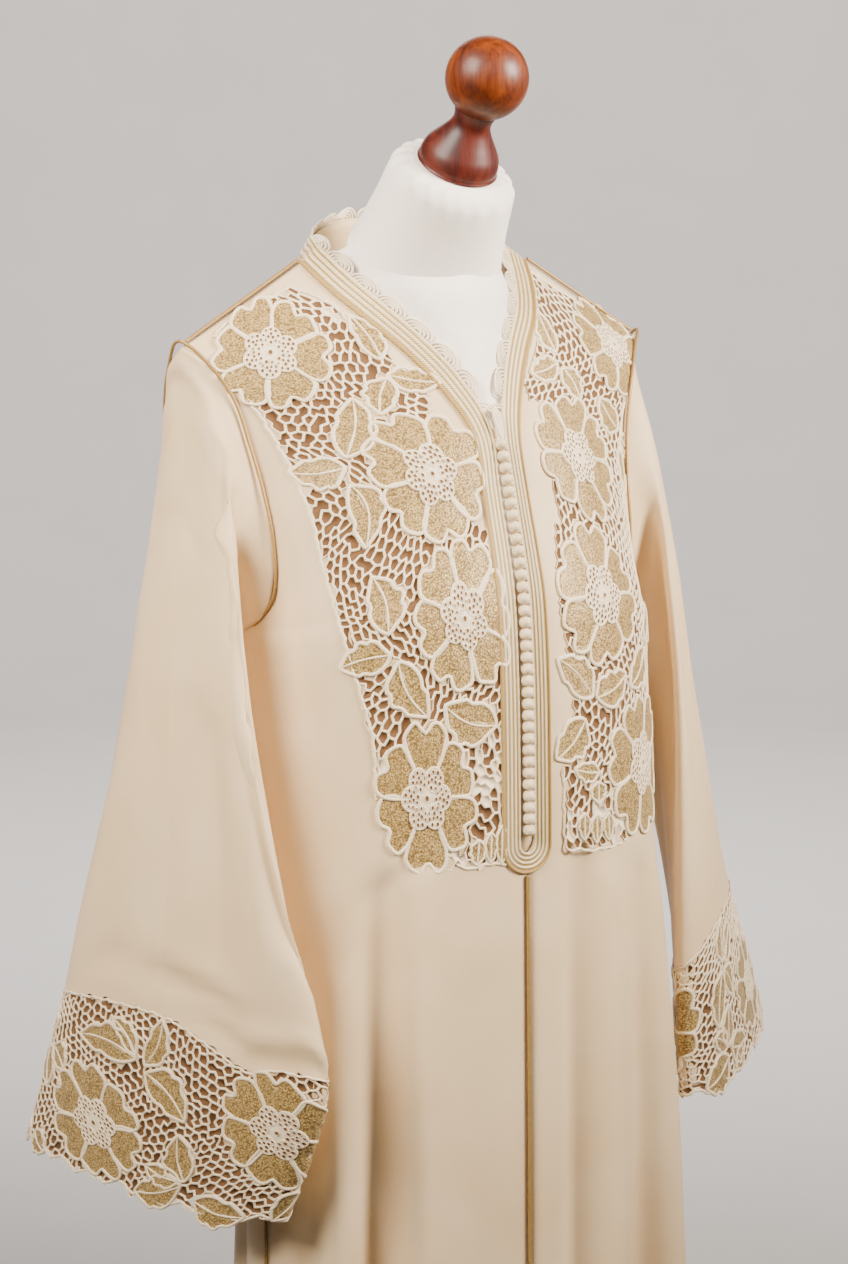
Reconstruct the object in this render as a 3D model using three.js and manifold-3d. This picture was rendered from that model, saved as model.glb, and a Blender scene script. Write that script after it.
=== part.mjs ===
// A long kaftan with lace fronts and lace cuffs, standing on a limbless dress form.
// Millimetres, +Z up. The wearer's front faces -Y and the wearer's left is +X.
import * as THREE from 'three';
import { mergeVertices } from 'three/addons/utils/BufferGeometryUtils.js';
import Module from 'manifold-3d';

const wasm = await Module();
wasm.setup();

const up = new THREE.Vector3(0, 0, 1);
const radians = THREE.MathUtils.degToRad;

// ---------------------------------------------------------------- driving sizes
const clothWall = 1.6; // crepe with its turned seam allowances
const seamGap = 0.3; // between pieces that are sewn edge to edge
const seamFacing = new THREE.Vector3(0.51, 0, 0.86); // off the sloping shoulder seam
const lift = 0.35; // between a panel and what is sewn on top of it
const laceWall = 1.5;
const braidWall = 2.4;
const slitHalf = 5.5; // half the front slit, filled by the button stand
const slitBottomZ = 1070;
const slitTurn = 6; // height in which the slit edges close to the centre seam
const pipingRadius = 1.3;
const scallopPitch = 26;
const scallopRise = 8;
const scallopLastRow = 4.5; // of the front, where the two edges of the neck have met
const buttonRadius = 4;
const buttonPitch = 8.25;
const buttonCount = 34;
const firstButtonZ = 1353;
const baseRadius = 150;
const baseHeight = 30;
const poleRadius = 14;
const poleY = -56;

const colours = { crepe: 0xe9dccb, lace: 0xd9c49a, braid: 0xe6d8b4, trim: 0xefe6d6,
  piping: 0xb99f62, button: 0xe4d3b4, jersey: 0xeeebe6, wood: 0x6b2a14, ball: 0xa04a1c };

// ---------------------------------------------------------------- section tables
const namedLine = (names, line) => Object.fromEntries(names.map((name, i) => [name, line[i]]));
const named = (names, lines) => lines.map((line) => namedLine(names, line));

// Middle edge of the front, from the shoulder seam down to the hem. turn is how much of an
// oval's quarter the row takes and square below 1 makes it boxier. braid and lace are how far the
// braid and the lace reach along the row.
const frontMiddle = named(['x', 'y', 'z', 'turn', 'square', 'braid', 'lace'], [
  [75, -8, 1495, 14, 1.00, 27, 113],
  [64, -35, 1473, 34, 1.00, 27, 119],
  [49, -62, 1451, 46, 1.00, 26, 127],
  [30, -82, 1428, 56, 1.00, 25, 136],
  [13, -101, 1402, 64, 0.96, 24, 146],
  [0, -120, 1368, 72, 0.92, 22, 154],
  [0, -132, 1325, 78, 0.88, 21, 156],
  [0, -145, 1280, 85, 0.84, 21, 151],
  [0, -153, 1242, 90, 0.80, 21, 140],
  [0, -158, 1180, 90, 0.80, 21, 127],
  [0, -160, 1110, 90, 0.80, 21, 115],
  [0, -161, 1056, 90, 0.80, 21, 108],
  [0, -163, 960, 90, 0.80, 21, 107],
  [0, -165, 850, 90, 0.80, 21, 108],
  [0, -167, 720, 90, 0.82, 21, 112],
  [0, -171, 560, 90, 0.84, 21, 120],
  [0, -178, 380, 90, 0.86, 21, 130],
  [0, -187, 200, 90, 0.88, 21, 140],
  [0, -196, 50, 90, 0.90, 21, 150],
]);

// Centre back. round is 0 where the row follows the neck and the shoulder seam, 1 where it is an oval.
const backMiddle = named(['x', 'y', 'z', 'turn', 'square', 'round'], [
  [0, 72, 1512, 60, 1.00, 0.00],
  [0, 76, 1499, 60, 1.00, 0.24],
  [0, 80, 1480, 62, 1.00, 0.50],
  [0, 85, 1453, 66, 0.98, 0.74],
  [0, 89, 1418, 70, 0.95, 0.90],
  [0, 91, 1380, 76, 0.92, 1.00],
  [0, 92, 1335, 82, 0.90, 1.00],
  [0, 91, 1285, 86, 0.88, 1.00],
  [0, 88, 1235, 90, 0.86, 1.00],
  [0, 84, 1180, 90, 0.86, 1.00],
  [0, 78, 1110, 90, 0.86, 1.00],
  [0, 73, 1056, 90, 0.86, 1.00],
  [0, 69, 960, 90, 0.86, 1.00],
  [0, 66, 850, 90, 0.86, 1.00],
  [0, 67, 720, 90, 0.86, 1.00],
  [0, 74, 560, 90, 0.87, 1.00],
  [0, 81, 380, 90, 0.88, 1.00],
  [0, 95, 200, 90, 0.89, 1.00],
  [0, 108, 50, 90, 0.90, 1.00],
]);

// The armhole from the shoulder tip to the underarm, every 22.5 degrees, at the front and at the back.
const armholeFront = named(['x', 'y', 'z'], [
  [196, -14, 1423], [184, -29, 1411], [171, -42, 1388], [163, -48, 1360], [157, -56, 1329],
  [154, -65, 1297], [153, -69, 1262], [158, -58, 1231], [168, -18, 1216],
]);
const armholeBack = named(['x', 'y', 'z'], [
  [196, -14, 1423], [195, 6, 1409], [189, 25, 1385], [181, 40, 1355], [174, 48, 1321],
  [170, 50, 1287], [168, 43, 1254], [167, 18, 1227], [168, -18, 1216],
]);
const sideSeam = named(['x', 'y', 'z'], [
  [168, -24, 1165], [165, -42, 1102], [164, -56, 1048], [167, -72, 955], [172, -86, 850],
  [178, -95, 720], [191, -96, 560], [207, -92, 380], [224, -86, 200], [238, -80, 50],
]);
const frontSide = [...armholeFront, ...sideSeam];
const backSide = [...armholeBack, ...sideSeam];
const underarm = armholeFront.length - 1;
const hem = frontMiddle.length - 1;

// Soft vertical folds of the skirt: where across the half panel, how wide, how deep at the hem, and
// where they start.
const frontFolds = named(['across', 'width', 'depth', 'startZ'], [
  [0.22, 0.10, 7, 980], [0.42, 0.08, -9, 1120], [0.62, 0.10, 7, 720], [0.84, 0.08, -8, 900],
]);
const backFolds = named(['across', 'width', 'depth', 'startZ'], [
  [0.14, 0.08, -9, 1000], [0.34, 0.09, 11, 940], [0.56, 0.08, -9, 1010], [0.78, 0.09, 10, 900],
]);

// Sleeve sections below the armhole, each a flattened oval between a front and a back fold.
// half is half its thickness, rise lifts its outer side, tilt drops its front fold and trough is the
// depth of the hollow that hangs under the front of the armhole.
const sleeveNames = ['frontX', 'frontY', 'backX', 'backY', 'z', 'half', 'rise', 'tilt', 'trough'];
const rightSleeve = named(sleeveNames, [
  [180, -66, 188, 40, 1290, 8, 86, 0, 9],
  [182, -88, 197, 48, 1222, 12, 68, 0, 18],
  [184, -116, 212, 60, 1138, 20, 48, 0, 16],
  [180, -146, 227, 77, 1040, 26, 30, 0, 7],
  [175, -176, 240, 97, 937, 29, 12, 0, 0],
  [179, -166, 247, 116, 880, 29, 2, 0, 0],
  [186, -136, 255, 138, 814, 28, -5, 0, 0],
]);
const leftSleeve = named(sleeveNames, [
  [180, -64, 194, 44, 1290, 10, 84, 0, 8],
  [180, -82, 214, 44, 1225, 17, 66, 0, 14],
  [178, -98, 240, 42, 1148, 23, 46, 2, 10],
  [174, -110, 271, 36, 1060, 26, 28, 5, 4],
  [172, -117, 304, 26, 964, 27, 12, 8, 0],
  [173, -118, 324, 19, 910, 27, 4, 10, 0],
  [174, -119, 343, 12, 850, 26, -4, 11, 0],
]);
const cuffTop = 5;
const mouth = 7;

// Dress form sections from the hip up to the neck base. pointed is below 1 where the section is boxy.
const formSections = named(['z', 'halfWidth', 'sideY', 'frontY', 'backY', 'pointed'], [
  [872, 146, -56, -138, 36, 0.90],
  [960, 142, -52, -134, 40, 0.90],
  [1050, 122, -44, -122, 46, 0.94],
  [1120, 120, -40, -126, 50, 0.94],
  [1200, 134, -34, -138, 56, 0.94],
  [1260, 140, -28, -138, 62, 0.98],
  [1310, 138, -24, -126, 66, 1.06],
  [1350, 142, -20, -115, 66, 1.20],
  [1388, 152, -16, -103, 60, 1.60],
  [1416, 164, -13, -94, 50, 2.20],
  [1439.4, 164, -11.2, -88, 40, 3.00],
  [1459.6, 130, -9.4, -84, 32, 3.00],
  [1479.3, 95, -8.4, -74, 26, 2.70],
  [1492, 58, -14, -68, 18, 1.80],
]);
const neckLean = 33; // degrees forward of upright
const neckTop = new THREE.Vector3(0, -67, 1550);
const neckProfile = named(['radius', 'height'], [
  [0, -98], [57, -98], [58, -84], [54, -62], [50, -38], [47.5, -16],
  [45.5, -9], [41, -3.5], [35, -0.8], [29.5, 0], [0, 0],
]);
const knobFoot = named(['radius', 'height'], [
  [0, 0], [27.5, 0], [29, 3], [28, 7], [22.5, 16], [18.5, 26], [16, 37], [15.5, 46],
]);
const baseProfile = named(['radius', 'height'], [
  [0, 0], [baseRadius - 3, 0], [baseRadius, 4], [baseRadius - 4, 13], [baseRadius - 30, 19], [40, 24],
  [34, baseHeight],
  [0, baseHeight],
]);
const ballRadius = 29.8;
const ballCentre = 72;

// ---------------------------------------------------------------- interpolation
const columnAt = (table, name, place) => {
  const last = table.length - 1;
  const at = THREE.MathUtils.clamp(place, 0, last);
  const i = Math.min(Math.floor(at), last - 1);
  const f = at - i;
  const here = table[i][name];
  const next = table[i + 1][name];
  const before = i > 0 ? table[i - 1][name] : 2 * here - next;
  const after = i < last - 1 ? table[i + 2][name] : 2 * next - here;
  const slope = (next - before) / 2;
  const nextSlope = (after - here) / 2;
  const bend = 3 * (next - here) - 2 * slope - nextSlope;
  const twist = 2 * (here - next) + slope + nextSlope;
  return here + f * (slope + f * (bend + f * twist));
};
const pointAt = (table, place) => (
  new THREE.Vector3(columnAt(table, 'x', place), columnAt(table, 'y', place), columnAt(table, 'z', place)));

const placeAtHeight = (table, height) => {
  let low = 0;
  let high = table.length - 1;
  for (let i = 0; i < 40; i += 1) {
    const middle = (low + high) / 2;
    if (columnAt(table, 'z', middle) > height) low = middle;
    else high = middle;
  }
  return low;
};

// ---------------------------------------------------------------- body surfaces
// A row runs from the middle edge (t = 0) to the armhole or side seam (t = 1).
const ovalRow = (middle, side, turnDegrees, square, t) => {
  const whole = radians(turnDegrees);
  const across = Math.sin(whole * t) ** square / Math.sin(whole) ** square;
  const depth = (1 - Math.cos(whole * t) ** square) / (1 - Math.cos(whole) ** square);
  return new THREE.Vector3(
    middle.x + (side.x - middle.x) * across,
    middle.y + (side.y - middle.y) * depth,
    middle.z + (side.z - middle.z) * across,
  );
};

const foldDepth = (folds, across, height) => folds.reduce((sum, fold) => {
  const grown = THREE.MathUtils.smoothstep(fold.startZ - height, 0, fold.startZ);
  return sum + fold.depth * grown * Math.exp(-(((across - fold.across) / fold.width) ** 2));
}, 0);

const frontPoint = (row, t) => {
  const base = ovalRow(pointAt(frontMiddle, row), pointAt(frontSide, row),
    columnAt(frontMiddle, 'turn', row), columnAt(frontMiddle, 'square', row), t);
  const depth = foldDepth(frontFolds, t, base.z);
  const outward = new THREE.Vector3(Math.sin(t * Math.PI / 2), -Math.cos(t * Math.PI / 2), 0);
  return base.addScaledVector(outward, depth);
};

// The share of a row at a given distance along it.
const rowSteps = 60;
const shareAt = (surface, row, distance) => {
  let walked = 0;
  let last = surface(row, 0);
  for (let i = 1; i <= rowSteps; i += 1) {
    const next = surface(row, i / rowSteps);
    const step = next.distanceTo(last);
    if (walked + step >= distance) return (i - 1 + (distance - walked) / step) / rowSteps;
    walked += step;
    last = next;
  }
  return 1;
};

// The top row of the back: round the neck up to the shoulder seam, then along the seam.
const neckFlatness = 1.35;
const seamStart = shareAt(frontPoint, 0, slitHalf);
const shoulderPoint = frontPoint(0, seamStart);
const neckRow = (t) => {
  if (t >= 0.5) return frontPoint(0, seamStart + (1 - seamStart) * (2 * t - 1));
  const nape = pointAt(backMiddle, 0);
  const angle = Math.PI * t;
  const back = Math.cos(angle) ** neckFlatness;
  return new THREE.Vector3(shoulderPoint.x * Math.sin(angle) ** neckFlatness,
    shoulderPoint.y + (nape.y - shoulderPoint.y) * back,
    shoulderPoint.z + (nape.z - shoulderPoint.z) * back);
};

const backPoint = (row, t) => {
  const oval = ovalRow(pointAt(backMiddle, row), pointAt(backSide, row),
    columnAt(backMiddle, 'turn', row), columnAt(backMiddle, 'square', row), t);
  const round = Math.min(columnAt(backMiddle, 'round', row), 1);
  const sideDrop = pointAt(backSide, row).sub(pointAt(backSide, 0)).multiplyScalar(t);
  const middleDrop = (columnAt(backMiddle, 'z', row) - backMiddle[0].z) * (1 - t);
  const neckShaped = neckRow(t).add(sideDrop).add(new THREE.Vector3(0, 0, middleDrop));
  const base = round < 1 ? neckShaped.lerp(oval, round) : oval;
  const depth = foldDepth(backFolds, t, base.z);
  const outward = new THREE.Vector3(Math.sin(t * Math.PI / 2), Math.cos(t * Math.PI / 2), 0);
  return base.addScaledVector(outward, depth);
};

// ---------------------------------------------------------------- cloth walls
// Normals of a grid of points, from its neighbours; around means that the columns close on themselves.
const gridNormals = (grid, around, flip) => grid.map((line, r) => line.map((_, c) => {
  const rows = grid.length;
  const columns = line.length;
  const left = around ? (c + columns - 1) % columns : Math.max(c - 1, 0);
  const right = around ? (c + 1) % columns : Math.min(c + 1, columns - 1);
  const along = grid[r][right].clone().sub(grid[r][left]);
  const down = grid[Math.min(r + 1, rows - 1)][c].clone().sub(grid[Math.max(r - 1, 0)][c]);
  return along.cross(down).normalize().multiplyScalar(flip ? -1 : 1);
}));

// A closed wall over a grid, between two distances from it.
const wallGeometry = (grid, normals, from, to, around = false) => {
  const rows = grid.length;
  const columns = grid[0].length;
  const moved = (p, r, c, distance) => p.clone().addScaledVector(normals[r][c], distance);
  const layer = (distance) => grid.flatMap((line, r) => line.map((p, c) => moved(p, r, c, distance)));
  const points = [...layer(to), ...layer(from)];
  const at = (side, r, c) => side * rows * columns + r * columns + (around ? c % columns : c);
  const faces = [];
  const quad = (a, b, c, d) => faces.push(a, b, c, a, c, d);
  const spans = around ? columns : columns - 1;
  for (let r = 0; r < rows - 1; r += 1) {
    for (let c = 0; c < spans; c += 1) {
      quad(at(0, r, c), at(0, r + 1, c), at(0, r + 1, c + 1), at(0, r, c + 1));
      quad(at(1, r, c), at(1, r, c + 1), at(1, r + 1, c + 1), at(1, r + 1, c));
    }
  }
  for (let c = 0; c < spans; c += 1) {
    quad(at(0, 0, c), at(0, 0, c + 1), at(1, 0, c + 1), at(1, 0, c));
    quad(at(0, rows - 1, c), at(1, rows - 1, c), at(1, rows - 1, c + 1), at(0, rows - 1, c + 1));
  }
  for (let r = 0; r < rows - 1 && !around; r += 1) {
    quad(at(0, r, 0), at(1, r, 0), at(1, r + 1, 0), at(0, r + 1, 0));
    const last = columns - 1;
    quad(at(0, r, last), at(0, r + 1, last), at(1, r + 1, last), at(1, r, last));
  }
  const geometry = new THREE.BufferGeometry();
  const numbers = points.flatMap((p) => p.toArray());
  geometry.setAttribute('position', new THREE.Float32BufferAttribute(numbers, 3));
  geometry.setIndex(faces);
  return outwardFacing(geometry);
};

const signedVolume = (geometry) => {
  const position = geometry.getAttribute('position');
  const index = geometry.getIndex();
  const corner = (i) => new THREE.Vector3().fromBufferAttribute(position, index.getX(i));
  let sum = 0;
  for (let i = 0; i < index.count; i += 3) sum += corner(i).dot(corner(i + 1).cross(corner(i + 2)));
  return sum / 6;
};
const outwardFacing = (geometry) => {
  if (signedVolume(geometry) < 0) {
    const index = geometry.getIndex();
    for (let i = 0; i < index.count; i += 3) {
      const kept = index.getX(i);
      index.setX(i, index.getX(i + 1));
      index.setX(i + 1, kept);
    }
  }
  geometry.computeVertexNormals();
  return geometry;
};

const garment = new THREE.Group();
const finish = {
  crepe: [0.62, 0], lace: [0.55, 0.15], braid: [0.6, 0.1], trim: [0.7, 0], piping: [0.45, 0.5],
  button: [0.6, 0], jersey: [0.85, 0], wood: [0.3, 0], ball: [0.25, 0] };
const addMesh = (name, geometry, kind) => {
  const material = new THREE.MeshStandardMaterial({ color: colours[kind], roughness: finish[kind][0],
    metalness: finish[kind][1] });
  const mesh = new THREE.Mesh(geometry, material);
  mesh.name = name;
  garment.add(mesh);
  return mesh;
};
const sided = (p, side) => new THREE.Vector3(p.x * side, p.y, p.z);
const mirrored = (grid, side) => grid.map((line) => line.map((p) => sided(p, side)));

// ---------------------------------------------------------------- fronts
const yokeStep = 2 / 3;
const yokeRows = Array.from({ length: 13 }, (_, i) => i * yokeStep);
const slitRow = placeAtHeight(frontMiddle, slitBottomZ);
const closedRow = placeAtHeight(frontMiddle, slitBottomZ - slitTurn);
const laceTopRow = 0.25;
const laceBottomRow = closedRow;
const frontPlaces = [...yokeRows.slice(0, 1), laceTopRow, ...yokeRows.slice(1), 9, 10, slitRow, closedRow,
  11, 12, 13, 14, 15, 16, 17, hem];
const laceFromBraid = 0.9;
const laceColumns = 4;
const sideColumns = 4;

const frontShares = (row) => {
  const edge = row < closedRow ? slitHalf : seamGap / 2;
  const braidReach = columnAt(frontMiddle, 'braid', row);
  const laceInner = braidReach + laceFromBraid;
  const laceReach = columnAt(frontMiddle, 'lace', row);
  const distances = [edge, braidReach, laceInner];
  for (let i = 1; i <= laceColumns; i += 1) {
    distances.push(laceInner + (laceReach - laceInner) * i / laceColumns);
  }
  const shares = distances.map((distance) => shareAt(frontPoint, row, distance));
  const reached = shares[shares.length - 1];
  for (let i = 1; i <= sideColumns; i += 1) shares.push(reached + (1 - reached) * i / sideColumns);
  return shares;
};

// The direction in which the body wall and the sleeve wall meet at the armhole.
const armholeNormal = (angle) => {
  const spread = 0.34 + 0.26 * Math.cos(angle);
  return new THREE.Vector3(spread, -Math.sin(angle), Math.cos(angle)).normalize();
};
const armholeCrossing = (angle) => {
  const normal = armholeNormal(angle);
  return new THREE.Vector3(1, 0, 0).addScaledVector(normal, -normal.x).normalize();
};
const armholeAngle = (row, back) => (back ? -1 : 1) * Math.PI * Math.min(row, underarm) / underarm;

const frontGrid = frontPlaces.map((row) => frontShares(row).map((t) => frontPoint(row, t)));
const backPlaces = [...yokeRows, 9, 10, 11, 12, 13, 14, 15, 16, 17, hem];
const shoulderShare = 0.5; // from here outward the back's top edge is the shoulder seam
const backShares = [0, 0.12, 0.25, 0.38, shoulderShare, 0.6, 0.72, 0.84, 0.93, 1];
const halfBackGrid = backPlaces.map((row) => backShares.map((t) => backPoint(row, t)));

// Sewn edges turn their wall the way that their neighbour does, and step back by half the seam gap.
const settleEdges = (grid, normals, places, back) => {
  const last = grid[0].length - 1;
  const toward = back ? 1 : -1;
  grid.forEach((line, r) => {
    const place = places[r];
    if (place <= underarm) {
      const angle = armholeAngle(place, back);
      normals[r][last] = armholeNormal(angle);
      line[last].addScaledVector(armholeCrossing(angle), -seamGap / 2);
    } else {
      normals[r][last].setY(0).normalize();
    }
    if (place >= underarm) line[last].y += toward * seamGap / 2;
  });
  grid[0].forEach((p, c) => {
    const onSeam = !back || backShares[c] >= shoulderShare;
    if (!onSeam) return;
    normals[0][c].setY(0).normalize();
    p.y += toward * seamGap / 2;
  });
};

const frontNormals = gridNormals(frontGrid, false, true);
frontNormals.forEach((line) => line[0].setX(0).normalize());
frontNormals[0] = frontNormals[0].map(() => seamFacing.clone());
settleEdges(frontGrid, frontNormals, frontPlaces, false);

const halfBackNormals = gridNormals(halfBackGrid, false, false);
halfBackNormals.forEach((line) => line[0].setX(0).normalize());
halfBackNormals[0] = halfBackNormals[0].map((n, c) => (
  backShares[c] >= shoulderShare ? seamFacing.clone() : n));
settleEdges(halfBackGrid, halfBackNormals, backPlaces, true);

const sides = [['right', -1], ['left', 1]];
const laceRowFrom = frontPlaces.indexOf(laceTopRow);
const laceRowTo = frontPlaces.indexOf(laceBottomRow);
const laceColumnFrom = 2;
const laceColumnTo = laceColumnFrom + laceColumns;
const cutOut = (grid) => (
  grid.slice(laceRowFrom, laceRowTo + 1).map((line) => line.slice(laceColumnFrom, laceColumnTo + 1)));
sides.forEach(([name, side]) => {
  const grid = mirrored(frontGrid, side);
  const normals = mirrored(frontNormals, side);
  addMesh(`front_${name}`, wallGeometry(grid, normals, -clothWall, 0), 'crepe');
  addMesh(`lace_panel_${name}`, wallGeometry(cutOut(grid), cutOut(normals), lift, lift + laceWall), 'lace');
});

const wholeRow = (line, mirror) => [...mirror.slice(1).reverse(), ...line];
const backGrid = halfBackGrid.map((line, r) => wholeRow(line, mirrored(halfBackGrid, -1)[r]));
const backNormals = halfBackNormals.map((line, r) => wholeRow(line, mirrored(halfBackNormals, -1)[r]));
addMesh('back', wallGeometry(backGrid, backNormals, -clothWall, 0), 'crepe');

// ---------------------------------------------------------------- sleeves
const aroundSteps = 24;
const armholePoint = (angle) => {
  const turned = THREE.MathUtils.euclideanModulo(angle, 2 * Math.PI);
  const back = turned > Math.PI;
  const place = underarm * (back ? 2 * Math.PI - turned : turned) / Math.PI;
  return pointAt(back ? armholeBack : armholeFront, place);
};
const troughAngle = radians(118);
const troughWidth = radians(24);
const underarmEase = 0.8; // the sleeve stands off the body where the two fold back on each other
const innerShare = 0.5; // the side next to the body hangs flatter
const sectionPoint = (table, place, angle) => {
  const value = (name) => columnAt(table, name, place);
  const front = new THREE.Vector3(value('frontX'), value('frontY'), 0);
  const back = new THREE.Vector3(value('backX'), value('backY'), 0);
  const middle = front.clone().add(back).multiplyScalar(0.5).setZ(value('z'));
  const reach = front.sub(back).multiplyScalar(0.5);
  const outer = up.clone().cross(reach).normalize().negate();
  if (outer.x < 0) outer.negate();
  const dent = value('trough') * Math.exp(-(((angle - troughAngle) / troughWidth) ** 2));
  return middle.addScaledVector(reach, Math.sin(angle))
    .addScaledVector(up, -Math.sin(angle) * value('tilt'))
    .addScaledVector(outer, Math.cos(angle) * value('half') * (Math.cos(angle) < 0 ? innerShare : 1) + dent)
    .addScaledVector(up, Math.cos(angle) * value('rise'))
    .addScaledVector(reach.clone().normalize(), -dent);
};
// The curve of one lengthwise thread of the sleeve, from the armhole (0) to the mouth.
const sleevePoint = (table, place, angle) => {
  const thread = [armholePoint(angle), ...table.map((_, i) => sectionPoint(table, i, angle))];
  return pointAt(thread, place);
};

const sleevePlaces = [0, 0.35, 0.7, 1, 1.5, 2, 2.5, 3, 4, cuffTop, 6, mouth];
const sleeveAngles = Array.from({ length: aroundSteps }, (_, i) => 2 * Math.PI * i / aroundSteps);
const cuffFrom = sleevePlaces.indexOf(cuffTop);
sides.forEach(([name, side]) => {
  const table = side < 0 ? rightSleeve : leftSleeve;
  const grid = sleevePlaces.map((place) => sleeveAngles.map((angle) => sleevePoint(table, place, angle)));
  const normals = gridNormals(grid, true, false);
  normals[0] = sleeveAngles.map(armholeNormal);
  grid[0].forEach((p, c) => {
    const low = (0.5 - 0.5 * Math.cos(sleeveAngles[c])) ** 2;
    p.addScaledVector(armholeCrossing(sleeveAngles[c]), seamGap / 2 + underarmEase * low);
  });
  const points = mirrored(grid, side);
  const facing = mirrored(normals, side);
  addMesh(`sleeve_${name}`, wallGeometry(points, facing, -clothWall, 0, true), 'crepe');
  addMesh(`cuff_lace_${name}`,
    wallGeometry(points.slice(cuffFrom), facing.slice(cuffFrom), lift, lift + laceWall, true), 'lace');
});

// ---------------------------------------------------------------- braid, scallops and button stand
// Points beside the opening: distance runs along the row from the front's middle line.
const besideOpening = (row, distance) => frontPoint(row, shareAt(frontPoint, row, distance));
const middleNormal = (row) => {
  const down = pointAt(frontMiddle, row + 0.05).sub(pointAt(frontMiddle, row - 0.05));
  return new THREE.Vector3(0, down.z, -down.y).normalize();
};
const raised = (point, normal, height) => point.clone().addScaledVector(normal, height);

// The braid is a list of cross lines, each with its inner edge, outer edge and the way they face.
const napeDrop = 2 * yokeStep; // rows of the back that the braid covers at the nape
const napeLift = 1.9; // the braid stands a little off the curved back neck
const seamEnd = 0.5 + 0.5 * (shareAt(frontPoint, 0, frontMiddle[0].braid) - seamStart) / (1 - seamStart);
const backNormal = (row, t) => {
  const step = 0.02;
  const along = backPoint(row, t + step).sub(backPoint(row, t));
  const down = backPoint(row + step, t).sub(backPoint(row, t));
  return along.cross(down).normalize();
};
const napeShares = [0, 0.1, 0.2, 0.3, 0.4];
const napeLines = napeShares.map((t) => {
  const angle = Math.PI * t;
  const outerShare = seamEnd * Math.sin(angle) ** 1.2;
  const outerRow = napeDrop * Math.cos(angle);
  const places = [[0, t], [outerRow / 2, (t + outerShare) / 2], [outerRow, outerShare]];
  const line = {
    points: places.map(([row, share]) => backPoint(row, share)),
    normals: places.map(([row, share]) => backNormal(row, share)),
  };
  if (t === 0) line.normals.forEach((n) => n.setX(0).normalize());
  line.points = line.points.map((p, i) => raised(p, line.normals[i], napeLift - lift));
  return line;
});
const slitLines = frontPlaces.filter((row) => row <= slitRow).map((row, r) => {
  const [inner, outer] = frontGrid[r];
  const facing = [frontNormals[r][0], frontNormals[r][1]];
  return {
    points: [inner, inner.clone().lerp(outer, 0.5), outer].map((p) => p.clone()),
    normals: [facing[0], facing[0].clone().add(facing[1]).normalize(), facing[1]],
  };
});
const turnSteps = 5;
const bottomReach = columnAt(frontMiddle, 'braid', slitRow);
const turnLines = Array.from({ length: turnSteps }, (_, i) => {
  const angle = Math.PI / 2 * (i + 1) / turnSteps;
  const points = [slitHalf, (slitHalf + bottomReach) / 2, bottomReach].map((radius) => {
    const row = placeAtHeight(frontMiddle, slitBottomZ - radius * Math.sin(angle));
    return i === turnSteps - 1 ? pointAt(frontMiddle, row) : besideOpening(row, radius * Math.cos(angle));
  });
  return { points, normals: points.map(() => middleNormal(slitRow)) };
});
const halfBraid = [...napeLines, ...slitLines, ...turnLines];
const mirrorLine = (line) => ({
  points: line.points.map((p) => new THREE.Vector3(-p.x, p.y, p.z)),
  normals: line.normals.map((n) => new THREE.Vector3(-n.x, n.y, n.z)),
});
const otherBraid = halfBraid.slice(1, -1).reverse().map(mirrorLine);
const braidRing = [...halfBraid, ...otherBraid];
const across = (lines, key) => [0, 1, 2].map((c) => lines.map((line) => line[key][c]));
addMesh('braid', wallGeometry(
  across(braidRing, 'points'), across(braidRing, 'normals'), lift, lift + braidWall, true), 'braid');

// Scallops stand inward from the braid's inner edge, all round the neck down to the slit.
const scallopRows = frontPlaces.findIndex((row) => row > scallopLastRow);
const neckLast = halfBraid.length - turnLines.length - slitLines.length + scallopRows;
const farNeck = halfBraid.slice(0, neckLast).reverse().map(mirrorLine);
const neckLines = [...farNeck, ...halfBraid.slice(1, neckLast)];
const scallopWall = 1;
const scallopFoot = 1.2;
const samplesPerScallop = 4;
const neckLengths = neckLines.map((line, i) => (
  i ? line.points[0].distanceTo(neckLines[i - 1].points[0]) : 0));
const neckLength = neckLengths.reduce((sum, length) => sum + length, 0);
const scallopCount = Math.round(neckLength / scallopPitch);
const neckAt = (distance) => {
  let i = 1;
  let walked = 0;
  while (i < neckLines.length - 1 && walked + neckLengths[i] < distance) {
    walked += neckLengths[i];
    i += 1;
  }
  const share = (distance - walked) / neckLengths[i];
  const [a, b] = [neckLines[i - 1], neckLines[i]];
  const inward = (line) => line.points[0].clone().sub(line.points[1]).normalize();
  return {
    edge: a.points[0].clone().lerp(b.points[0], share),
    inward: inward(a).lerp(inward(b), share).normalize(),
    facing: a.normals[0].clone().lerp(b.normals[0], share).normalize(),
  };
};
const scallopSteps = scallopCount * samplesPerScallop;
const scallopStations = Array.from({ length: scallopSteps + 1 }, (_, i) => {
  const place = neckAt(neckLength * i / scallopSteps);
  const height = scallopFoot + scallopRise * Math.abs(Math.sin(Math.PI * i / samplesPerScallop));
  return {
    points: [raised(place.edge, place.inward, seamGap), raised(place.edge, place.inward, seamGap + height)],
    normals: [place.facing, place.facing],
  };
});
addMesh('scallop_trim', wallGeometry(scallopStations.map((station) => station.points),
  scallopStations.map((station) => station.normals), -scallopWall / 2, scallopWall / 2), 'trim');

const standRows = [...frontPlaces.filter((row) => row > underarm / 2 + 1 && row < slitRow), slitRow - 0.01];
const standHalf = slitHalf - seamGap;
const standGrid = standRows.map((row) => {
  const edge = besideOpening(row, standHalf);
  return [new THREE.Vector3(-edge.x, edge.y, edge.z), pointAt(frontMiddle, row), edge];
});
const standNormals = standRows.map((row) => [0, 1, 2].map(() => middleNormal(row)));
addMesh('button_stand', wallGeometry(standGrid, standNormals,
  -clothWall, 0), 'crepe');

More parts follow.
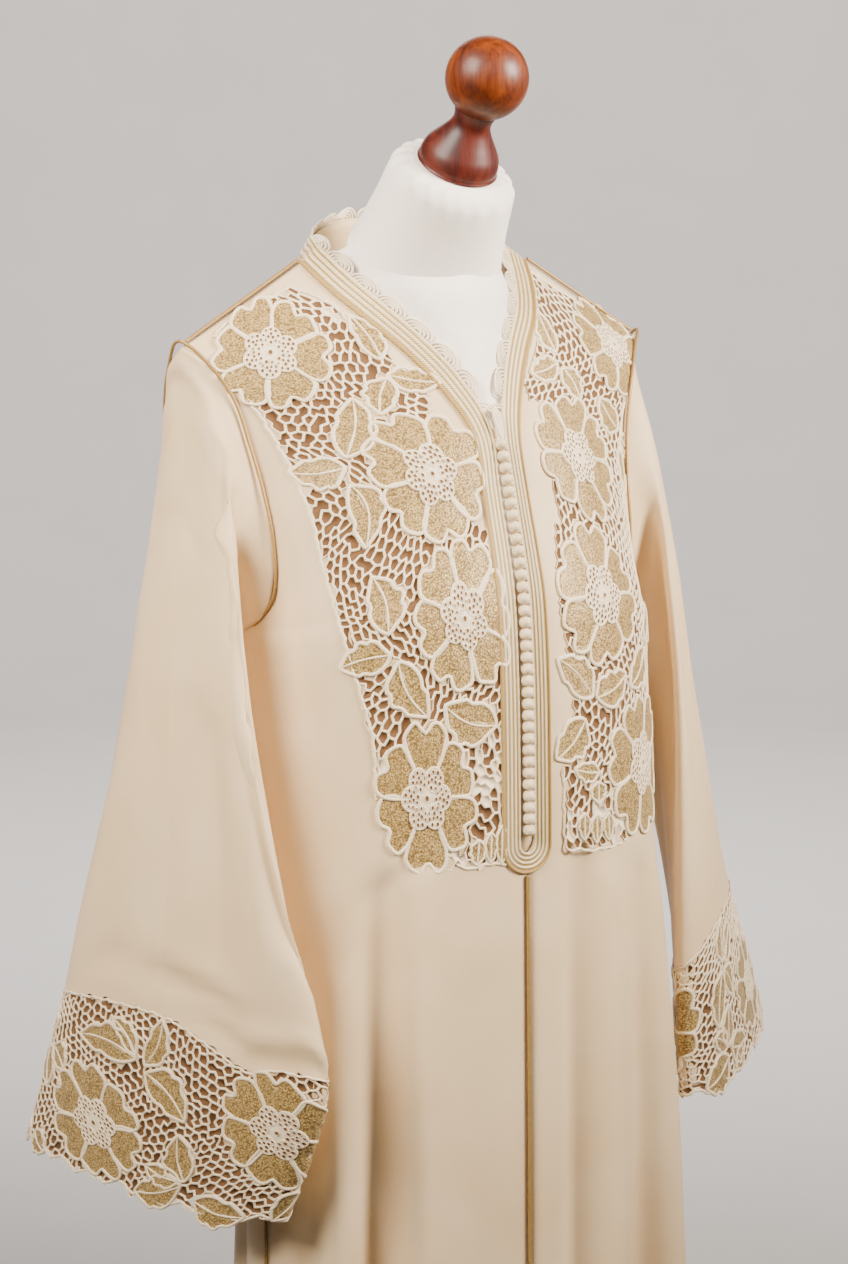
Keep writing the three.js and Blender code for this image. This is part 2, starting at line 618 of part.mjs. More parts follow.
for (let i = 0; i < buttonCount; i += 1) {
  const row = placeAtHeight(frontMiddle, firstButtonZ - i * buttonPitch);
  const centre = raised(pointAt(frontMiddle, row), middleNormal(row), buttonRadius + lift);
  const ball = new THREE.SphereGeometry(buttonRadius, 7, 5);
  const button = addMesh(`button_${String(i + 1).padStart(2, '0')}`, ball, 'button');
  button.position.copy(centre);
}

// ---------------------------------------------------------------- pipings
const pipingStand = pipingRadius + lift;
const pipingSection = new THREE.Shape(Array.from({ length: 6 }, (_, i) => new THREE.Vector2(
  pipingRadius * Math.cos(Math.PI * i / 3), pipingRadius * Math.sin(Math.PI * i / 3))));
const addPiping = (name, points, steps) => {
  const extrudePath = new THREE.CatmullRomCurve3(points);
  const options = { steps, extrudePath, bevelEnabled: false };
  addMesh(name, new THREE.ExtrudeGeometry(pipingSection, options), 'piping');
};
const clearOfNeighbour = 4.5;
const armholeTip = pointAt(armholeFront, 0);
const shoulderLength = shoulderPoint.distanceTo(armholeTip);
const braidOnShoulder = frontMiddle[0].braid - slitHalf;
const armholePipingEnd = 135;
const armholeEase = 1.8; // keeps the straight stretches of piping off the curved edges
const tipRise = 1.4; // over the corner where shoulder and armhole meet
sides.forEach(([name, side]) => {
  const place = (point) => new THREE.Vector3(point.x * side, point.y, point.z);
  const alongSeam = (distance) => place(raised(
    shoulderPoint.clone().lerp(armholeTip, distance / shoulderLength), seamFacing, pipingStand));
  addPiping(`shoulder_piping_${name}`, [braidOnShoulder + 1, shoulderLength / 2,
    shoulderLength - clearOfNeighbour].map(alongSeam), 6);
  const angles = Array.from({ length: 15 }, (_, i) => radians(armholePipingEnd * (i / 7 - 1)));
  addPiping(`armhole_piping_${name}`, angles.map((angle) => {
    const stand = pipingStand + armholeEase + (angle === 0 ? tipRise : 0);
    return place(raised(armholePoint(angle), armholeNormal(angle), stand));
  }), 24);
  const seamPlaces = [8.8, 9.5, 10.5, 12, 13, 14, 15, 16, 17, hem];
  addPiping(`side_piping_${name}`,
    seamPlaces.map((row) => place(pointAt(frontSide, row).add(new THREE.Vector3(pipingStand, 0, 0)))), 18);
});
const centreStart = placeAtHeight(frontMiddle, slitBottomZ - bottomReach - 1.5);
addPiping('centre_piping', [centreStart, 12, 13, 14, 15, 16, 17, hem].map((row) => raised(
  pointAt(frontMiddle, row), middleNormal(Math.min(row, hem - 0.05)), pipingStand)), 12);

// ---------------------------------------------------------------- dress form and stand
const bodyOf = (geometry) => {
  const plain = geometry.clone();
  plain.deleteAttribute('normal');
  plain.deleteAttribute('uv');
  const merged = mergeVertices(plain, 1e-3);
  return new wasm.Manifold(new wasm.Mesh({ numProp: 3,
    vertProperties: new Float32Array(merged.getAttribute('position').array),
    triVerts: new Uint32Array(merged.getIndex().array) }));
};
const geometryOf = (body) => {
  const mesh = body.getMesh();
  const geometry = new THREE.BufferGeometry();
  geometry.setAttribute('position', new THREE.BufferAttribute(new Float32Array(mesh.vertProperties), 3));
  geometry.setIndex(Array.from(mesh.triVerts));
  geometry.computeVertexNormals();
  return geometry;
};

const formSteps = 24;
const powered = (value, power) => Math.sign(value) * Math.abs(value) ** power;
const formRings = formSections.map((section) => Array.from({ length: formSteps }, (_, i) => {
  const angle = 2 * Math.PI * i / formSteps;
  const reach = powered(Math.cos(angle), section.pointed);
  const farY = reach > 0 ? section.frontY : section.backY;
  return new THREE.Vector3(section.halfWidth * powered(Math.sin(angle), section.pointed),
    section.sideY + (farY - section.sideY) * Math.abs(reach), section.z);
}));
const loftGeometry = (rings) => {
  const steps = rings[0].length;
  const middleOf = (ring) => ring.reduce((sum, p) => sum.add(p), new THREE.Vector3()).divideScalar(steps);
  const points = [...rings.flat(), middleOf(rings[0]), middleOf(rings[rings.length - 1])];
  const lastRing = (rings.length - 1) * steps;
  const faces = [];
  for (let r = 0; r < rings.length - 1; r += 1) {
    for (let i = 0; i < steps; i += 1) {
      const j = (i + 1) % steps;
      const [a, b, c, d] = [r * steps + i, r * steps + j, (r + 1) * steps + j, (r + 1) * steps + i];
      faces.push(a, b, c, a, c, d);
    }
  }
  for (let i = 0; i < steps; i += 1) {
    const j = (i + 1) % steps;
    faces.push(points.length - 2, j, i, points.length - 1, lastRing + i, lastRing + j);
  }
  const geometry = new THREE.BufferGeometry();
  const numbers = points.flatMap((p) => p.toArray());
  geometry.setAttribute('position', new THREE.Float32BufferAttribute(numbers, 3));
  geometry.setIndex(faces);
  return outwardFacing(geometry);
};
const turned = (profile, segments) => {
  const outline = profile.map((p) => new THREE.Vector2(p.radius, p.height));
  const geometry = new THREE.LatheGeometry(outline, segments);
  return geometry.rotateX(Math.PI / 2);
};
const leaning = (geometry) => geometry.rotateX(radians(neckLean)).translate(...neckTop.toArray());
const neck = leaning(turned(neckProfile, 28));
addMesh('form_body', geometryOf(bodyOf(loftGeometry(formRings)).add(bodyOf(neck))), 'jersey');

const ballStart = Math.asin(knobFoot[knobFoot.length - 1].radius / ballRadius);
const ballSteps = 9;
const ballProfile = Array.from({ length: ballSteps }, (_, i) => {
  const angle = ballStart + (Math.PI - ballStart) * (i + 1) / ballSteps;
  const radius = i === ballSteps - 1 ? 0 : ballRadius * Math.sin(angle);
  return { radius, height: ballCentre - ballRadius * Math.cos(angle) };
});
const knob = turned([...knobFoot, ...ballProfile], 24).translate(0, 0, seamGap);
addMesh('finial_knob', leaning(knob), 'ball');

addMesh('stand_base', turned(baseProfile, 36).translate(0, poleY, 0), 'wood');
const poleTop = formSections[0].z - seamGap;
const poleLength = poleTop - baseHeight - seamGap;
const pole = new THREE.CylinderGeometry(poleRadius, poleRadius, poleLength, 16).rotateX(Math.PI / 2);
addMesh('stand_pole', pole.translate(0, poleY, (poleTop + baseHeight + seamGap) / 2), 'wood');

garment.position.y = -poleY;

export default garment;
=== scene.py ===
import math
import random

import bmesh
import bpy
import numpy as np
from mathutils import Matrix, Vector


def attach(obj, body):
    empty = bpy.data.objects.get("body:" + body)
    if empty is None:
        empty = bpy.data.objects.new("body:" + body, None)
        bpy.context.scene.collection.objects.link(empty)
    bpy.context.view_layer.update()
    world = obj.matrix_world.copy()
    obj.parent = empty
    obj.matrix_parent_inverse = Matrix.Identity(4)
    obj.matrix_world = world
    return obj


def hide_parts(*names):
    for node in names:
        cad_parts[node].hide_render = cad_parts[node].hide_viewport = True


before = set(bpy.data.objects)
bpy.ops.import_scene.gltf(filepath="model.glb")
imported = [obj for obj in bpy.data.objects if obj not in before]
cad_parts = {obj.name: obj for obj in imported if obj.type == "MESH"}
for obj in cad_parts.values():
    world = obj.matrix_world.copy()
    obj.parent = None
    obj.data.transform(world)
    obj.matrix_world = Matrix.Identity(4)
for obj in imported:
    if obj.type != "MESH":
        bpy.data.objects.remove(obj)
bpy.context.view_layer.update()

# A floor-length kaftan on a dress form. Lengths are in millimetres here, as a cutter writes them,
# and become metres when a mesh is made. The garment is drawn with its own zero in front of the pole.
mm = 0.001
poleSetBack = 56.0
up = np.array([0.0, 0.0, 1.0])


def named(names, lines):
    return {name: np.array(column, float) for name, column in zip(names.split(), zip(*lines))}


def toMetres(points):
    return (np.asarray(points, float) + np.array([0.0, poleSetBack, 0.0])) * mm


def unit(vectors):
    vectors = np.asarray(vectors, float)
    return vectors / np.maximum(np.linalg.norm(vectors, axis=-1, keepdims=True), 1e-9)


# ---- the cut: the same named tables as the pattern pieces
slit = {"half": 5.5, "bottomZ": 1070.0, "turn": 6.0}
cloth = {"wall": 1.1, "seamGap": 0.3, "step": 6.0, "sampled": 97}

frontMiddle = named("x y z turn square braid lace", [
    (75, -8, 1495, 14, 1.00, 27, 113),
    (64, -35, 1473, 34, 1.00, 27, 119),
    (49, -62, 1451, 46, 1.00, 26, 127),
    (30, -82, 1428, 56, 1.00, 25, 136),
    (13, -101, 1402, 64, 0.96, 24, 146),
    (0, -120, 1368, 72, 0.92, 22, 154),
    (0, -132, 1325, 78, 0.88, 21, 156),
    (0, -145, 1280, 85, 0.84, 21, 151),
    (0, -153, 1242, 90, 0.80, 21, 140),
    (0, -158, 1180, 90, 0.80, 21, 127),
    (0, -160, 1110, 90, 0.80, 21, 115),
    (0, -161, 1056, 90, 0.80, 21, 108),
    (0, -163, 960, 90, 0.80, 21, 107),
    (0, -165, 850, 90, 0.80, 21, 108),
    (0, -167, 720, 90, 0.82, 21, 112),
    (0, -171, 560, 90, 0.84, 21, 120),
    (0, -178, 380, 90, 0.86, 21, 130),
    (0, -187, 200, 90, 0.88, 21, 140),
    (0, -196, 50, 90, 0.90, 21, 150),
])
backMiddle = named("x y z turn square round", [
    (0, 72, 1512, 60, 1.00, 0.00),
    (0, 76, 1499, 60, 1.00, 0.24),
    (0, 80, 1480, 62, 1.00, 0.50),
    (0, 85, 1453, 66, 0.98, 0.74),
    (0, 89, 1418, 70, 0.95, 0.90),
    (0, 91, 1380, 76, 0.92, 1.00),
    (0, 92, 1335, 82, 0.90, 1.00),
    (0, 91, 1285, 86, 0.88, 1.00),
    (0, 88, 1235, 90, 0.86, 1.00),
    (0, 84, 1180, 90, 0.86, 1.00),
    (0, 78, 1110, 90, 0.86, 1.00),
    (0, 73, 1056, 90, 0.86, 1.00),
    (0, 69, 960, 90, 0.86, 1.00),
    (0, 66, 850, 90, 0.86, 1.00),
    (0, 67, 720, 90, 0.86, 1.00),
    (0, 74, 560, 90, 0.87, 1.00),
    (0, 81, 380, 90, 0.88, 1.00),
    (0, 95, 200, 90, 0.89, 1.00),
    (0, 108, 50, 90, 0.90, 1.00),
])
armholeFrontLines = [
    (196, -14, 1423), (184, -29, 1411), (171, -42, 1388), (163, -48, 1360), (157, -56, 1329),
    (154, -65, 1297), (153, -69, 1262), (158, -58, 1231), (168, -18, 1216),
]
armholeBackLines = [
    (196, -14, 1423), (195, 6, 1409), (189, 25, 1385), (181, 40, 1355), (174, 48, 1321),
    (170, 50, 1287), (168, 43, 1254), (167, 18, 1227), (168, -18, 1216),
]
sideSeamLines = [
    (168, -24, 1165), (165, -42, 1102), (164, -56, 1048), (167, -72, 955), (172, -86, 850),
    (178, -95, 720), (191, -96, 560), (207, -92, 380), (224, -86, 200), (238, -80, 50),
]
armholeFront = named("x y z", armholeFrontLines)
armholeBack = named("x y z", armholeBackLines)
frontSide = named("x y z", armholeFrontLines + sideSeamLines)
backSide = named("x y z", armholeBackLines + sideSeamLines)
underarm = 8
hem = 18

# Soft upright folds of the skirt, drawn over the half panel: how wide, how deep, and where each starts.
frontFolds = [  # across, width, depth, startZ
    (0.22, 0.10, 7, 980), (0.42, 0.08, -9, 1120), (0.62, 0.10, 7, 720), (0.84, 0.08, -8, 900),
]
backFolds = [
    (0.14, 0.08, -9, 1000), (0.34, 0.09, 11, 940), (0.56, 0.08, -9, 1010), (0.78, 0.09, 10, 900),
]
sleeveNames = "frontX frontY backX backY z half rise tilt trough"
rightSleeve = named(sleeveNames, [
    (180, -66, 188, 40, 1290, 8, 86, 0, 9),
    (182, -88, 197, 48, 1222, 12, 68, 0, 18),
    (184, -116, 212, 60, 1138, 20, 48, 0, 16),
    (180, -146, 227, 77, 1040, 26, 30, 0, 7),
    (175, -176, 240, 97, 937, 29, 12, 0, 0),
    (179, -166, 247, 116, 880, 29, 2, 0, 0),
    (186, -136, 255, 138, 814, 28, -5, 0, 0),
])
leftSleeve = named(sleeveNames, [
    (180, -64, 194, 44, 1290, 10, 84, 0, 8),
    (180, -82, 214, 44, 1225, 17, 66, 0, 14),
    (178, -98, 240, 42, 1148, 23, 46, 2, 10),
    (174, -110, 271, 36, 1060, 26, 28, 5, 4),
    (172, -117, 304, 26, 964, 27, 12, 8, 0),
    (173, -118, 324, 19, 910, 27, 4, 10, 0),
    (174, -119, 343, 12, 850, 26, -4, 11, 0),
])
sleeveMouth = 7


# ---- smooth curves through the tables
def splined(before, here, after, beyond, f):
    slope, nextSlope = (after - before) / 2, (beyond - here) / 2
    bend = 3 * (after - here) - 2 * slope - nextSlope
    twist = 2 * (here - after) + slope + nextSlope
    return here + f * (slope + f * (bend + f * twist))


def columnAt(table, name, place):
    values = table[name]
    last = len(values) - 1
    at = np.clip(np.asarray(place, float), 0, last)
    i = np.minimum(np.floor(at).astype(int), last - 1)
    f = at - i
    here, after = values[i], values[i + 1]
    before = np.where(i > 0, values[np.maximum(i - 1, 0)], 2 * here - after)
    beyond = np.where(i < last - 1, values[np.minimum(i + 2, last)], 2 * after - here)
    return splined(before, here, after, beyond, f)


def pointAt(table, place):
    return np.stack([columnAt(table, name, place) for name in "xyz"], axis=-1)


def placeAtHeight(table, height):
    low, high = 0.0, len(table["z"]) - 1.0
    for _ in range(40):
        middle = (low + high) / 2
        above = columnAt(table, "z", middle) > height
        low, high = (middle, high) if above else (low, middle)
    return low


def lengthsAlong(points):
    return np.concatenate([[0], np.cumsum(np.linalg.norm(np.diff(points, axis=0), axis=1))])


def pointsAfter(points, distances):  # the points at given distances along a line of points
    return np.stack([np.interp(distances, lengthsAlong(points), column) for column in points.T], axis=-1)


def smoothStep(value, low, high):
    t = np.clip((value - low) / (high - low), 0, 1)
    return t * t * (3 - 2 * t)


def hollow(value, centre, width):
    return np.exp(-(((value - centre) / width) ** 2))


# ---- the body: a row runs from the middle edge (t = 0) to the armhole or side seam (t = 1)
def ovalRow(middle, side, turn, square, t):
    whole = np.radians(turn)
    across = np.sin(whole * t) ** square / np.sin(whole) ** square
    depth = (1 - np.maximum(np.cos(whole * t), 0) ** square) / (1 - np.maximum(np.cos(whole), 0) ** square)
    return middle + (side - middle) * np.stack([across, depth, across], axis=-1)


def foldDepth(folds, across, height):
    total = 0
    for centre, width, depth, startZ in folds:
        total = total + depth * smoothStep(startZ - height, 0, startZ) * hollow(across, centre, width)
    return total


def bodyOval(middle, side, row, t):
    return ovalRow(pointAt(middle, row), pointAt(side, row),
                   columnAt(middle, "turn", row), columnAt(middle, "square", row), t)


def folded(base, folds, t, facing):
    outward = np.stack([np.sin(t * np.pi / 2), facing * np.cos(t * np.pi / 2), 0 * t], axis=-1)
    return base + outward * foldDepth(folds, t, base[..., 2])[..., None]


def frontPoint(row, t):
    row, t = np.broadcast_arrays(np.asarray(row, float), np.asarray(t, float))
    return folded(bodyOval(frontMiddle, frontSide, row, t), frontFolds, t, -1)


def sharesAt(surface, rows, distances):  # the share of each row at given distances along it
    steps = np.linspace(0, 1, 121)
    rows = np.atleast_1d(np.asarray(rows, float))
    points = surface(rows[:, None], steps[None, :])
    walked = np.linalg.norm(np.diff(points, axis=1), axis=-1)
    walked = np.concatenate([np.zeros((len(rows), 1)), np.cumsum(walked, axis=1)], axis=1)
    distances = np.broadcast_to(distances, (len(rows), np.shape(distances)[-1]))
    return np.array([np.interp(d, w, steps) for d, w in zip(distances, walked)])


seamStart = sharesAt(frontPoint, 0, [slit["half"]])[0, 0]
shoulderPoint = frontPoint(0, seamStart)
neckFlatness = 1.35


def neckRow(t):  # the back's top edge: round the neck, then along the shoulder seam
    nape = pointAt(backMiddle, 0)
    angle = np.pi * np.minimum(t, 0.5)
    back = np.maximum(np.cos(angle), 0) ** neckFlatness
    side = np.sin(angle) ** neckFlatness
    neck = np.stack([shoulderPoint[0] * side, shoulderPoint[1] + (nape[1] - shoulderPoint[1]) * back,
                     shoulderPoint[2] + (nape[2] - shoulderPoint[2]) * back], axis=-1)
    seam = frontPoint(0, seamStart + (1 - seamStart) * np.clip(2 * t - 1, 0, 1))
    return np.where((t >= 0.5)[..., None], seam, neck)


def backPoint(row, t):
    row, t = np.broadcast_arrays(np.asarray(row, float), np.asarray(t, float))
    oval = bodyOval(backMiddle, backSide, row, t)
    rounded = np.minimum(columnAt(backMiddle, "round", row), 1)[..., None]
    yoke = neckRow(t) + (pointAt(backSide, row) - pointAt(backSide, 0)) * t[..., None]
    yoke = yoke + up * ((columnAt(backMiddle, "z", row) - backMiddle["z"][0]) * (1 - t))[..., None]
    return folded(np.where(rounded < 1, yoke + (oval - yoke) * rounded, oval), backFolds, t, 1)


# ---- the sleeves: threads run from the armhole down through a row of flattened ovals
sleeveTrough = {"angle": math.radians(118), "width": math.radians(24), "innerShare": 0.5, "underarmEase": 0.8}


def armholePoint(angle):
    turned = np.mod(angle, 2 * np.pi)
    behind = turned > np.pi
    place = underarm * np.where(behind, 2 * np.pi - turned, turned) / np.pi
    return np.where(behind[..., None], pointAt(armholeBack, place), pointAt(armholeFront, place))


def armholeNormal(angle):
    spread = 0.34 + 0.26 * np.cos(angle)
    return unit(np.stack([spread, -np.sin(angle), np.cos(angle)], axis=-1))


def sectionPoint(table, place, angle):
    value = lambda name: table[name][place]
    front = np.array([value("frontX"), value("frontY"), 0.0])
    back = np.array([value("backX"), value("backY"), 0.0])
    middle = (front + back) / 2 + up * value("z")
    reach = (front - back) / 2
    outer = unit(np.cross(up, reach))
    outer = outer * np.sign(outer[0])
    dent = value("trough") * hollow(angle, sleeveTrough["angle"], sleeveTrough["width"])
    share = np.where(np.cos(angle) < 0, sleeveTrough["innerShare"], 1.0)
    side = np.cos(angle) * value("half") * share + dent
    return (middle + reach * np.sin(angle)[..., None] - up * (np.sin(angle) * value("tilt"))[..., None]
            + outer * side[..., None] + up * (np.cos(angle) * value("rise"))[..., None]
            - unit(reach) * dent[..., None])


def sleevePoint(table, place, angle):
    place, angle = np.broadcast_arrays(np.asarray(place, float), np.asarray(angle, float))
    angle = np.mod(angle, 2 * np.pi)
    threads = [armholePoint(angle)] + [sectionPoint(table, i, angle) for i in range(len(table["z"]))]
    last = len(threads) - 1
    at = np.clip(place, 0, last)
    i = np.minimum(np.floor(at).astype(int), last - 1)
    f = (at - i)[..., None]
    stack = np.stack([2 * threads[0] - threads[1]] + threads + [2 * threads[last] - threads[last - 1]])
    pick = lambda k: np.take_along_axis(stack, (i + k)[None, ..., None].repeat(3, axis=-1), axis=0)[0]
    return splined(pick(0), pick(1), pick(2), pick(3), f)


# ---- materials: hex colours are what the eye sees, the one function here makes them linear
def linear(hexColour):
    values = [int(hexColour[i:i + 2], 16) / 255 for i in (0, 2, 4)]
    return tuple(v / 12.92 if v <= 0.04045 else ((v + 0.055) / 1.055) ** 2.4 for v in values) + (1.0,)


def addNode(tree, kind, output, inputs=None, **settings):
    node = tree.nodes.new("ShaderNode" + kind)
    for key, value in settings.items():
        setattr(node, key, value)
    for socket, value in (inputs or {}).items():
        if isinstance(value, bpy.types.NodeSocket):
            tree.links.new(value, node.inputs[socket])
        else:
            node.inputs[socket].default_value = value
    return node.outputs[output]


def startMaterial(name, **shaderValues):
    material = bpy.data.materials.new(name)
    material.use_nodes = True
    shader = material.node_tree.nodes["Principled BSDF"]
    for socket, value in shaderValues.items():
        shader.inputs[socket.replace("_", " ")].default_value = value
    return material, material.node_tree


def addShares(tree, value, share, other):  # value times its share, plus the other
    return addNode(tree, "Math", 0, {0: value, 1: share, 2: other}, operation="MULTIPLY_ADD")


def toneAndRelief(tree, figure, stops, height, depth, strength=1.0):
    shader = tree.nodes["Principled BSDF"]
    tone = addNode(tree, "ValToRGB", "Color", {"Fac": figure})
    ramp = tone.node.color_ramp
    while len(ramp.elements) < len(stops):
        ramp.elements.new(0.5)
    for element, (position, hexColour) in zip(ramp.elements, stops):
        element.position = position
        element.color = linear(hexColour)
    relief = addNode(tree, "Bump", "Normal",
                     {"Height": height, "Distance": abs(depth) * mm, "Strength": strength}, invert=depth < 0)
    tree.links.new(tone, shader.inputs["Base Color"])
    tree.links.new(relief, shader.inputs["Normal"])


def grainedMaterial(name, coordinates, scale, stops, depth, pattern="noise", **shaderValues):
    # tone and relief come from one fine pattern; scale is in mm for one repeat
    material, tree = startMaterial(name, **shaderValues)
    place = addNode(tree, "TexCoord", coordinates)
    size = 1 / mm if coordinates == "Object" else 1.0
    stretch = scale if isinstance(scale, tuple) else (scale,) * 3
    grid = addNode(tree, "Mapping", 0, {"Vector": place, "Scale": tuple(size / s for s in stretch)})
    if pattern == "cells":
        height = addNode(tree, "TexVoronoi", "Distance", {"Vector": grid, "Scale": 1.0, "Randomness": 0.8})
    else:
        height = addNode(tree, "TexNoise", "Fac", {"Vector": grid, "Scale": 1.0, "Detail": 3.0})
    toneAndRelief(tree, height, stops, height, depth)
    return material


def crepeMaterial(name, light, shade):
    # silky polyester crepe: two crossing yarns and a pebbled surface, drawn at 0.9 mm so that it can show
    yarnStep, pebbleStep, cloudStep, wavesPerUnit = 0.9, 1.4, 90, 20 / (2 * math.pi)
    material, tree = startMaterial(name, Roughness=0.56, Sheen_Weight=0.18, Sheen_Roughness=0.4,
                                   Specular_IOR_Level=0.34)
    place = addNode(tree, "TexCoord", "UV")
    weave = {"Vector": place, "Scale": 1 / yarnStep / wavesPerUnit, "Distortion": 1.2, "Detail": 1.0,
             "Detail Scale": 0.4}
    yarns = [addNode(tree, "TexWave", "Fac", weave, bands_direction=direction) for direction in "XY"]
    pebble = addNode(tree, "TexNoise", "Fac", {"Vector": place, "Scale": 1 / pebbleStep, "Detail": 2.0})
    height = addShares(tree, addShares(tree, yarns[0], 1.0, yarns[1]), 0.5, pebble)
    cloud = addNode(tree, "TexNoise", "Fac", {"Vector": place, "Scale": 1 / cloudStep, "Detail": 3.0})
    toneAndRelief(tree, addShares(tree, height, 0.12, cloud), [(0.3, shade), (0.85, light)], height, 0.05, 0.7)
    return material


def twillMaterial(name, threadStep, stops):
    # woven cord: slanting threads, drawn 1.2 to 1.3 mm apart so that they can show
    fleckStep, wavesPerUnit = 0.9, 20 / (2 * math.pi)
    material, tree = startMaterial(name, Roughness=0.46, Sheen_Weight=0.2, Specular_IOR_Level=0.45,
                                   Metallic=0.05)
    place = addNode(tree, "TexCoord", "UV")
    slant = addNode(tree, "Mapping", 0, {"Vector": place, "Rotation": (0, 0, 0.7)})
    twill = addNode(tree, "TexWave", "Fac", {"Vector": slant, "Scale": 1 / threadStep / wavesPerUnit,
                    "Distortion": 0.8, "Detail": 1.0}, bands_direction="X")
    fleck = addNode(tree, "TexNoise", "Fac", {"Vector": place, "Scale": 1 / fleckStep, "Detail": 2.0})
    height = addShares(tree, twill, 0.6, fleck)
    toneAndRelief(tree, height, stops, height, 0.16)
    return material


def woodMaterial(name, dark, middle, light, coat):
    # turned hardwood, stained and varnished: rings along the turning axis, fine pores, a clear coat
    ringStep, fibreStep = (60 * mm, 60 * mm, 260 * mm), (1.6 * mm, 1.6 * mm, 34 * mm)
    material, tree = startMaterial(name, Roughness=0.5, Coat_Weight=coat, Coat_Roughness=0.3,
                                   Specular_IOR_Level=0.3)
    place = addNode(tree, "TexCoord", "Object")
    turned = addNode(tree, "Mapping", 0, {"Vector": place, "Rotation": (0.9, 0.35, 0.2),
                     "Scale": tuple(1 / step for step in ringStep)})
    rings = addNode(tree, "TexNoise", "Fac", {"Vector": turned, "Scale": 4.0, "Detail": 6.0, "Distortion": 1.4})
    fibre = addNode(tree, "Mapping", 0, {"Vector": place, "Rotation": (0.58, 0, 0),
                    "Scale": tuple(1 / step for step in fibreStep)})
    pores = addNode(tree, "TexNoise", "Fac", {"Vector": fibre, "Scale": 1.0, "Detail": 4.0})
    toneAndRelief(tree, addShares(tree, pores, 0.35, rings), [(0.42, dark), (0.62, middle), (0.84, light)],
                  pores, 0.04, 0.5)
    return material


# ivory crepe: matt and silky, its fine pebble softens the light along every fold
ivoryCrepe = crepeMaterial("ivoryCrepeWeave", "E6CDA5", "D8B98B")
# cream satin thread: pale raised stitches with a soft shine that outline every petal and hole
satinThread = grainedMaterial("creamSatinThread", "UV", 0.9, [(0.25, "D0B482"), (0.65, "FFEFD0")], 0.16,
                              Roughness=0.46, Sheen_Weight=0.25, Specular_IOR_Level=0.45)
# gold seed stitch: small dull-gold grains, the filling of petals and leaves, with a painted highlight on each
# raised top and painted shade in the sunk gaps between them
goldSeedPaintedLight = grainedMaterial("goldSeedStitchPaintedLight", "UV", 1.35, [(0.05, "F2DAA2"), (0.35, "BA9A58"), (0.75, "725828")],
                           -0.28, "cells", Roughness=0.42, Metallic=0.12, Sheen_Weight=0.2,
                           Specular_IOR_Level=0.5)
# tan lining with painted shade: the warm brown ground that shows through the holes, a lining darkened into
# painted shade for the dark seen down each hole
liningPaintedShade = grainedMaterial("tanLiningPaintedShade", "UV", 0.7, [(0.3, "573A20"), (0.7, "7C5A3A")], 0.05,
                            Roughness=0.8, Specular_IOR_Level=0.2)
# gold twisted cord: a thin warm line with a dull metallic glint over each seam
goldCord = grainedMaterial("goldTwistedCord", "Object", 0.8, [(0.3, "80602A"), (0.7, "B8924C")], 0.08,
                           Roughness=0.4, Metallic=0.2, Sheen_Weight=0.15)
# cream rayon cord: smooth pale threads, a little shinier than the crepe
creamCord = grainedMaterial("creamRayonCord", "Object", 0.8, [(0.3, "DCC8A4"), (0.7, "F6E8CE")], 0.06,
                            Roughness=0.42, Sheen_Weight=0.2, Specular_IOR_Level=0.45)
# knotted button thread: cream turns, darkened to tan as painted shade in the hollows between them
buttonThreadPaintedShade = grainedMaterial("knottedButtonThread", "Object", 0.9,
                               [(0.25, "B0925E"), (0.45, "DCC69C"), (0.75, "F2E2C4")], 0.16,
                               Roughness=0.46, Sheen_Weight=0.15)
# cream twill cord: the braid's ribs, flecked with gold where the yarns cross
creamTwill = twillMaterial("creamGoldTwillCord", 1.3, [(0.35, "98783E"), (0.65, "DEC896"), (0.95, "FCEDC8")])
# gold braid line: the darker dotted lines that part the ribs
goldTwill = twillMaterial("goldBraidLine", 1.2, [(0.3, "5E4012"), (0.7, "94702E"), (1.0, "C6A55C")])
# white cotton jersey: clean, matt and cooler than the kaftan
jersey = grainedMaterial("whiteCottonJersey", "Object", (1.1, 1.1, 1.6), [(0.3, "F2E7D6"), (0.75, "FDF6EC")],
                         0.05, Roughness=0.86, Sheen_Weight=0.3, Specular_IOR_Level=0.25)
# varnished beech: deep orange-brown figure under a clear glossy coat; the foot is stained darker
knobWood = woodMaterial("varnishedBeechKnob", "2E0E00", "561E00", "783600", 0.25)
footWood = woodMaterial("darkStainedFoot", "260804", "401006", "581C0A", 0.2)
# stained stand wood: dark brown and only slightly glossy
standWood = woodMaterial("stainedStandWood", "3A1A0E", "5E2C16", "7A4022", 0.5)
# grey backdrop paper: even, pale and without any shine
backdropPaper = grainedMaterial("greyBackdropPaper", "Object", 240.0, [(0.2, "C4BFBB"), (0.8, "C8C4C0")], 0.2,
                                Roughness=0.95, Specular_IOR_Level=0.1)
print("materials made")


# ---- mesh helpers
def newObject(name, bm, materials):
    mesh = bpy.data.meshes.new(name)
    bm.normal_update()
    for face in bm.faces:
        face.smooth = True
    bm.to_mesh(mesh)
    bm.free()
    for material in materials:
        mesh.materials.append(material)
    made = bpy.data.objects.new(name, mesh)
    bpy.context.collection.objects.link(made)
    return made


def newPiece(name, bm, materials, slot, *nodes):
    piece = newObject(name, bm, materials)
    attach(piece, "root")
    if nodes:
        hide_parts(*nodes)
    return piece


def gridCells(bm, across, down):  # a sheet of cells and each vertex's place on it, from 0 to 1 both ways
    bm.loops.layers.uv.verify()
    made = bmesh.ops.create_grid(bm, x_segments=across, y_segments=down, size=0.5, calc_uvs=True)["verts"]
    return made, np.array([v.co[:2] for v in made]) + 0.5


def eachLoop(bm):
    return [loop for face in bm.faces for loop in face.loops]


def moveVerts(verts, points):
    for vert, point in zip(verts, points):
        vert.co = point


def gridNormals(points, closed=False):
    # facing of a grid of points [down, across]; closed where the last column meets the first
    if closed:
        points = np.concatenate([points[:, -2:-1], points, points[:, 1:2]], axis=1)
    normals = unit(np.cross(np.gradient(points, axis=1), np.gradient(points, axis=0)))
    return normals[:, 1:-1] if closed else normals


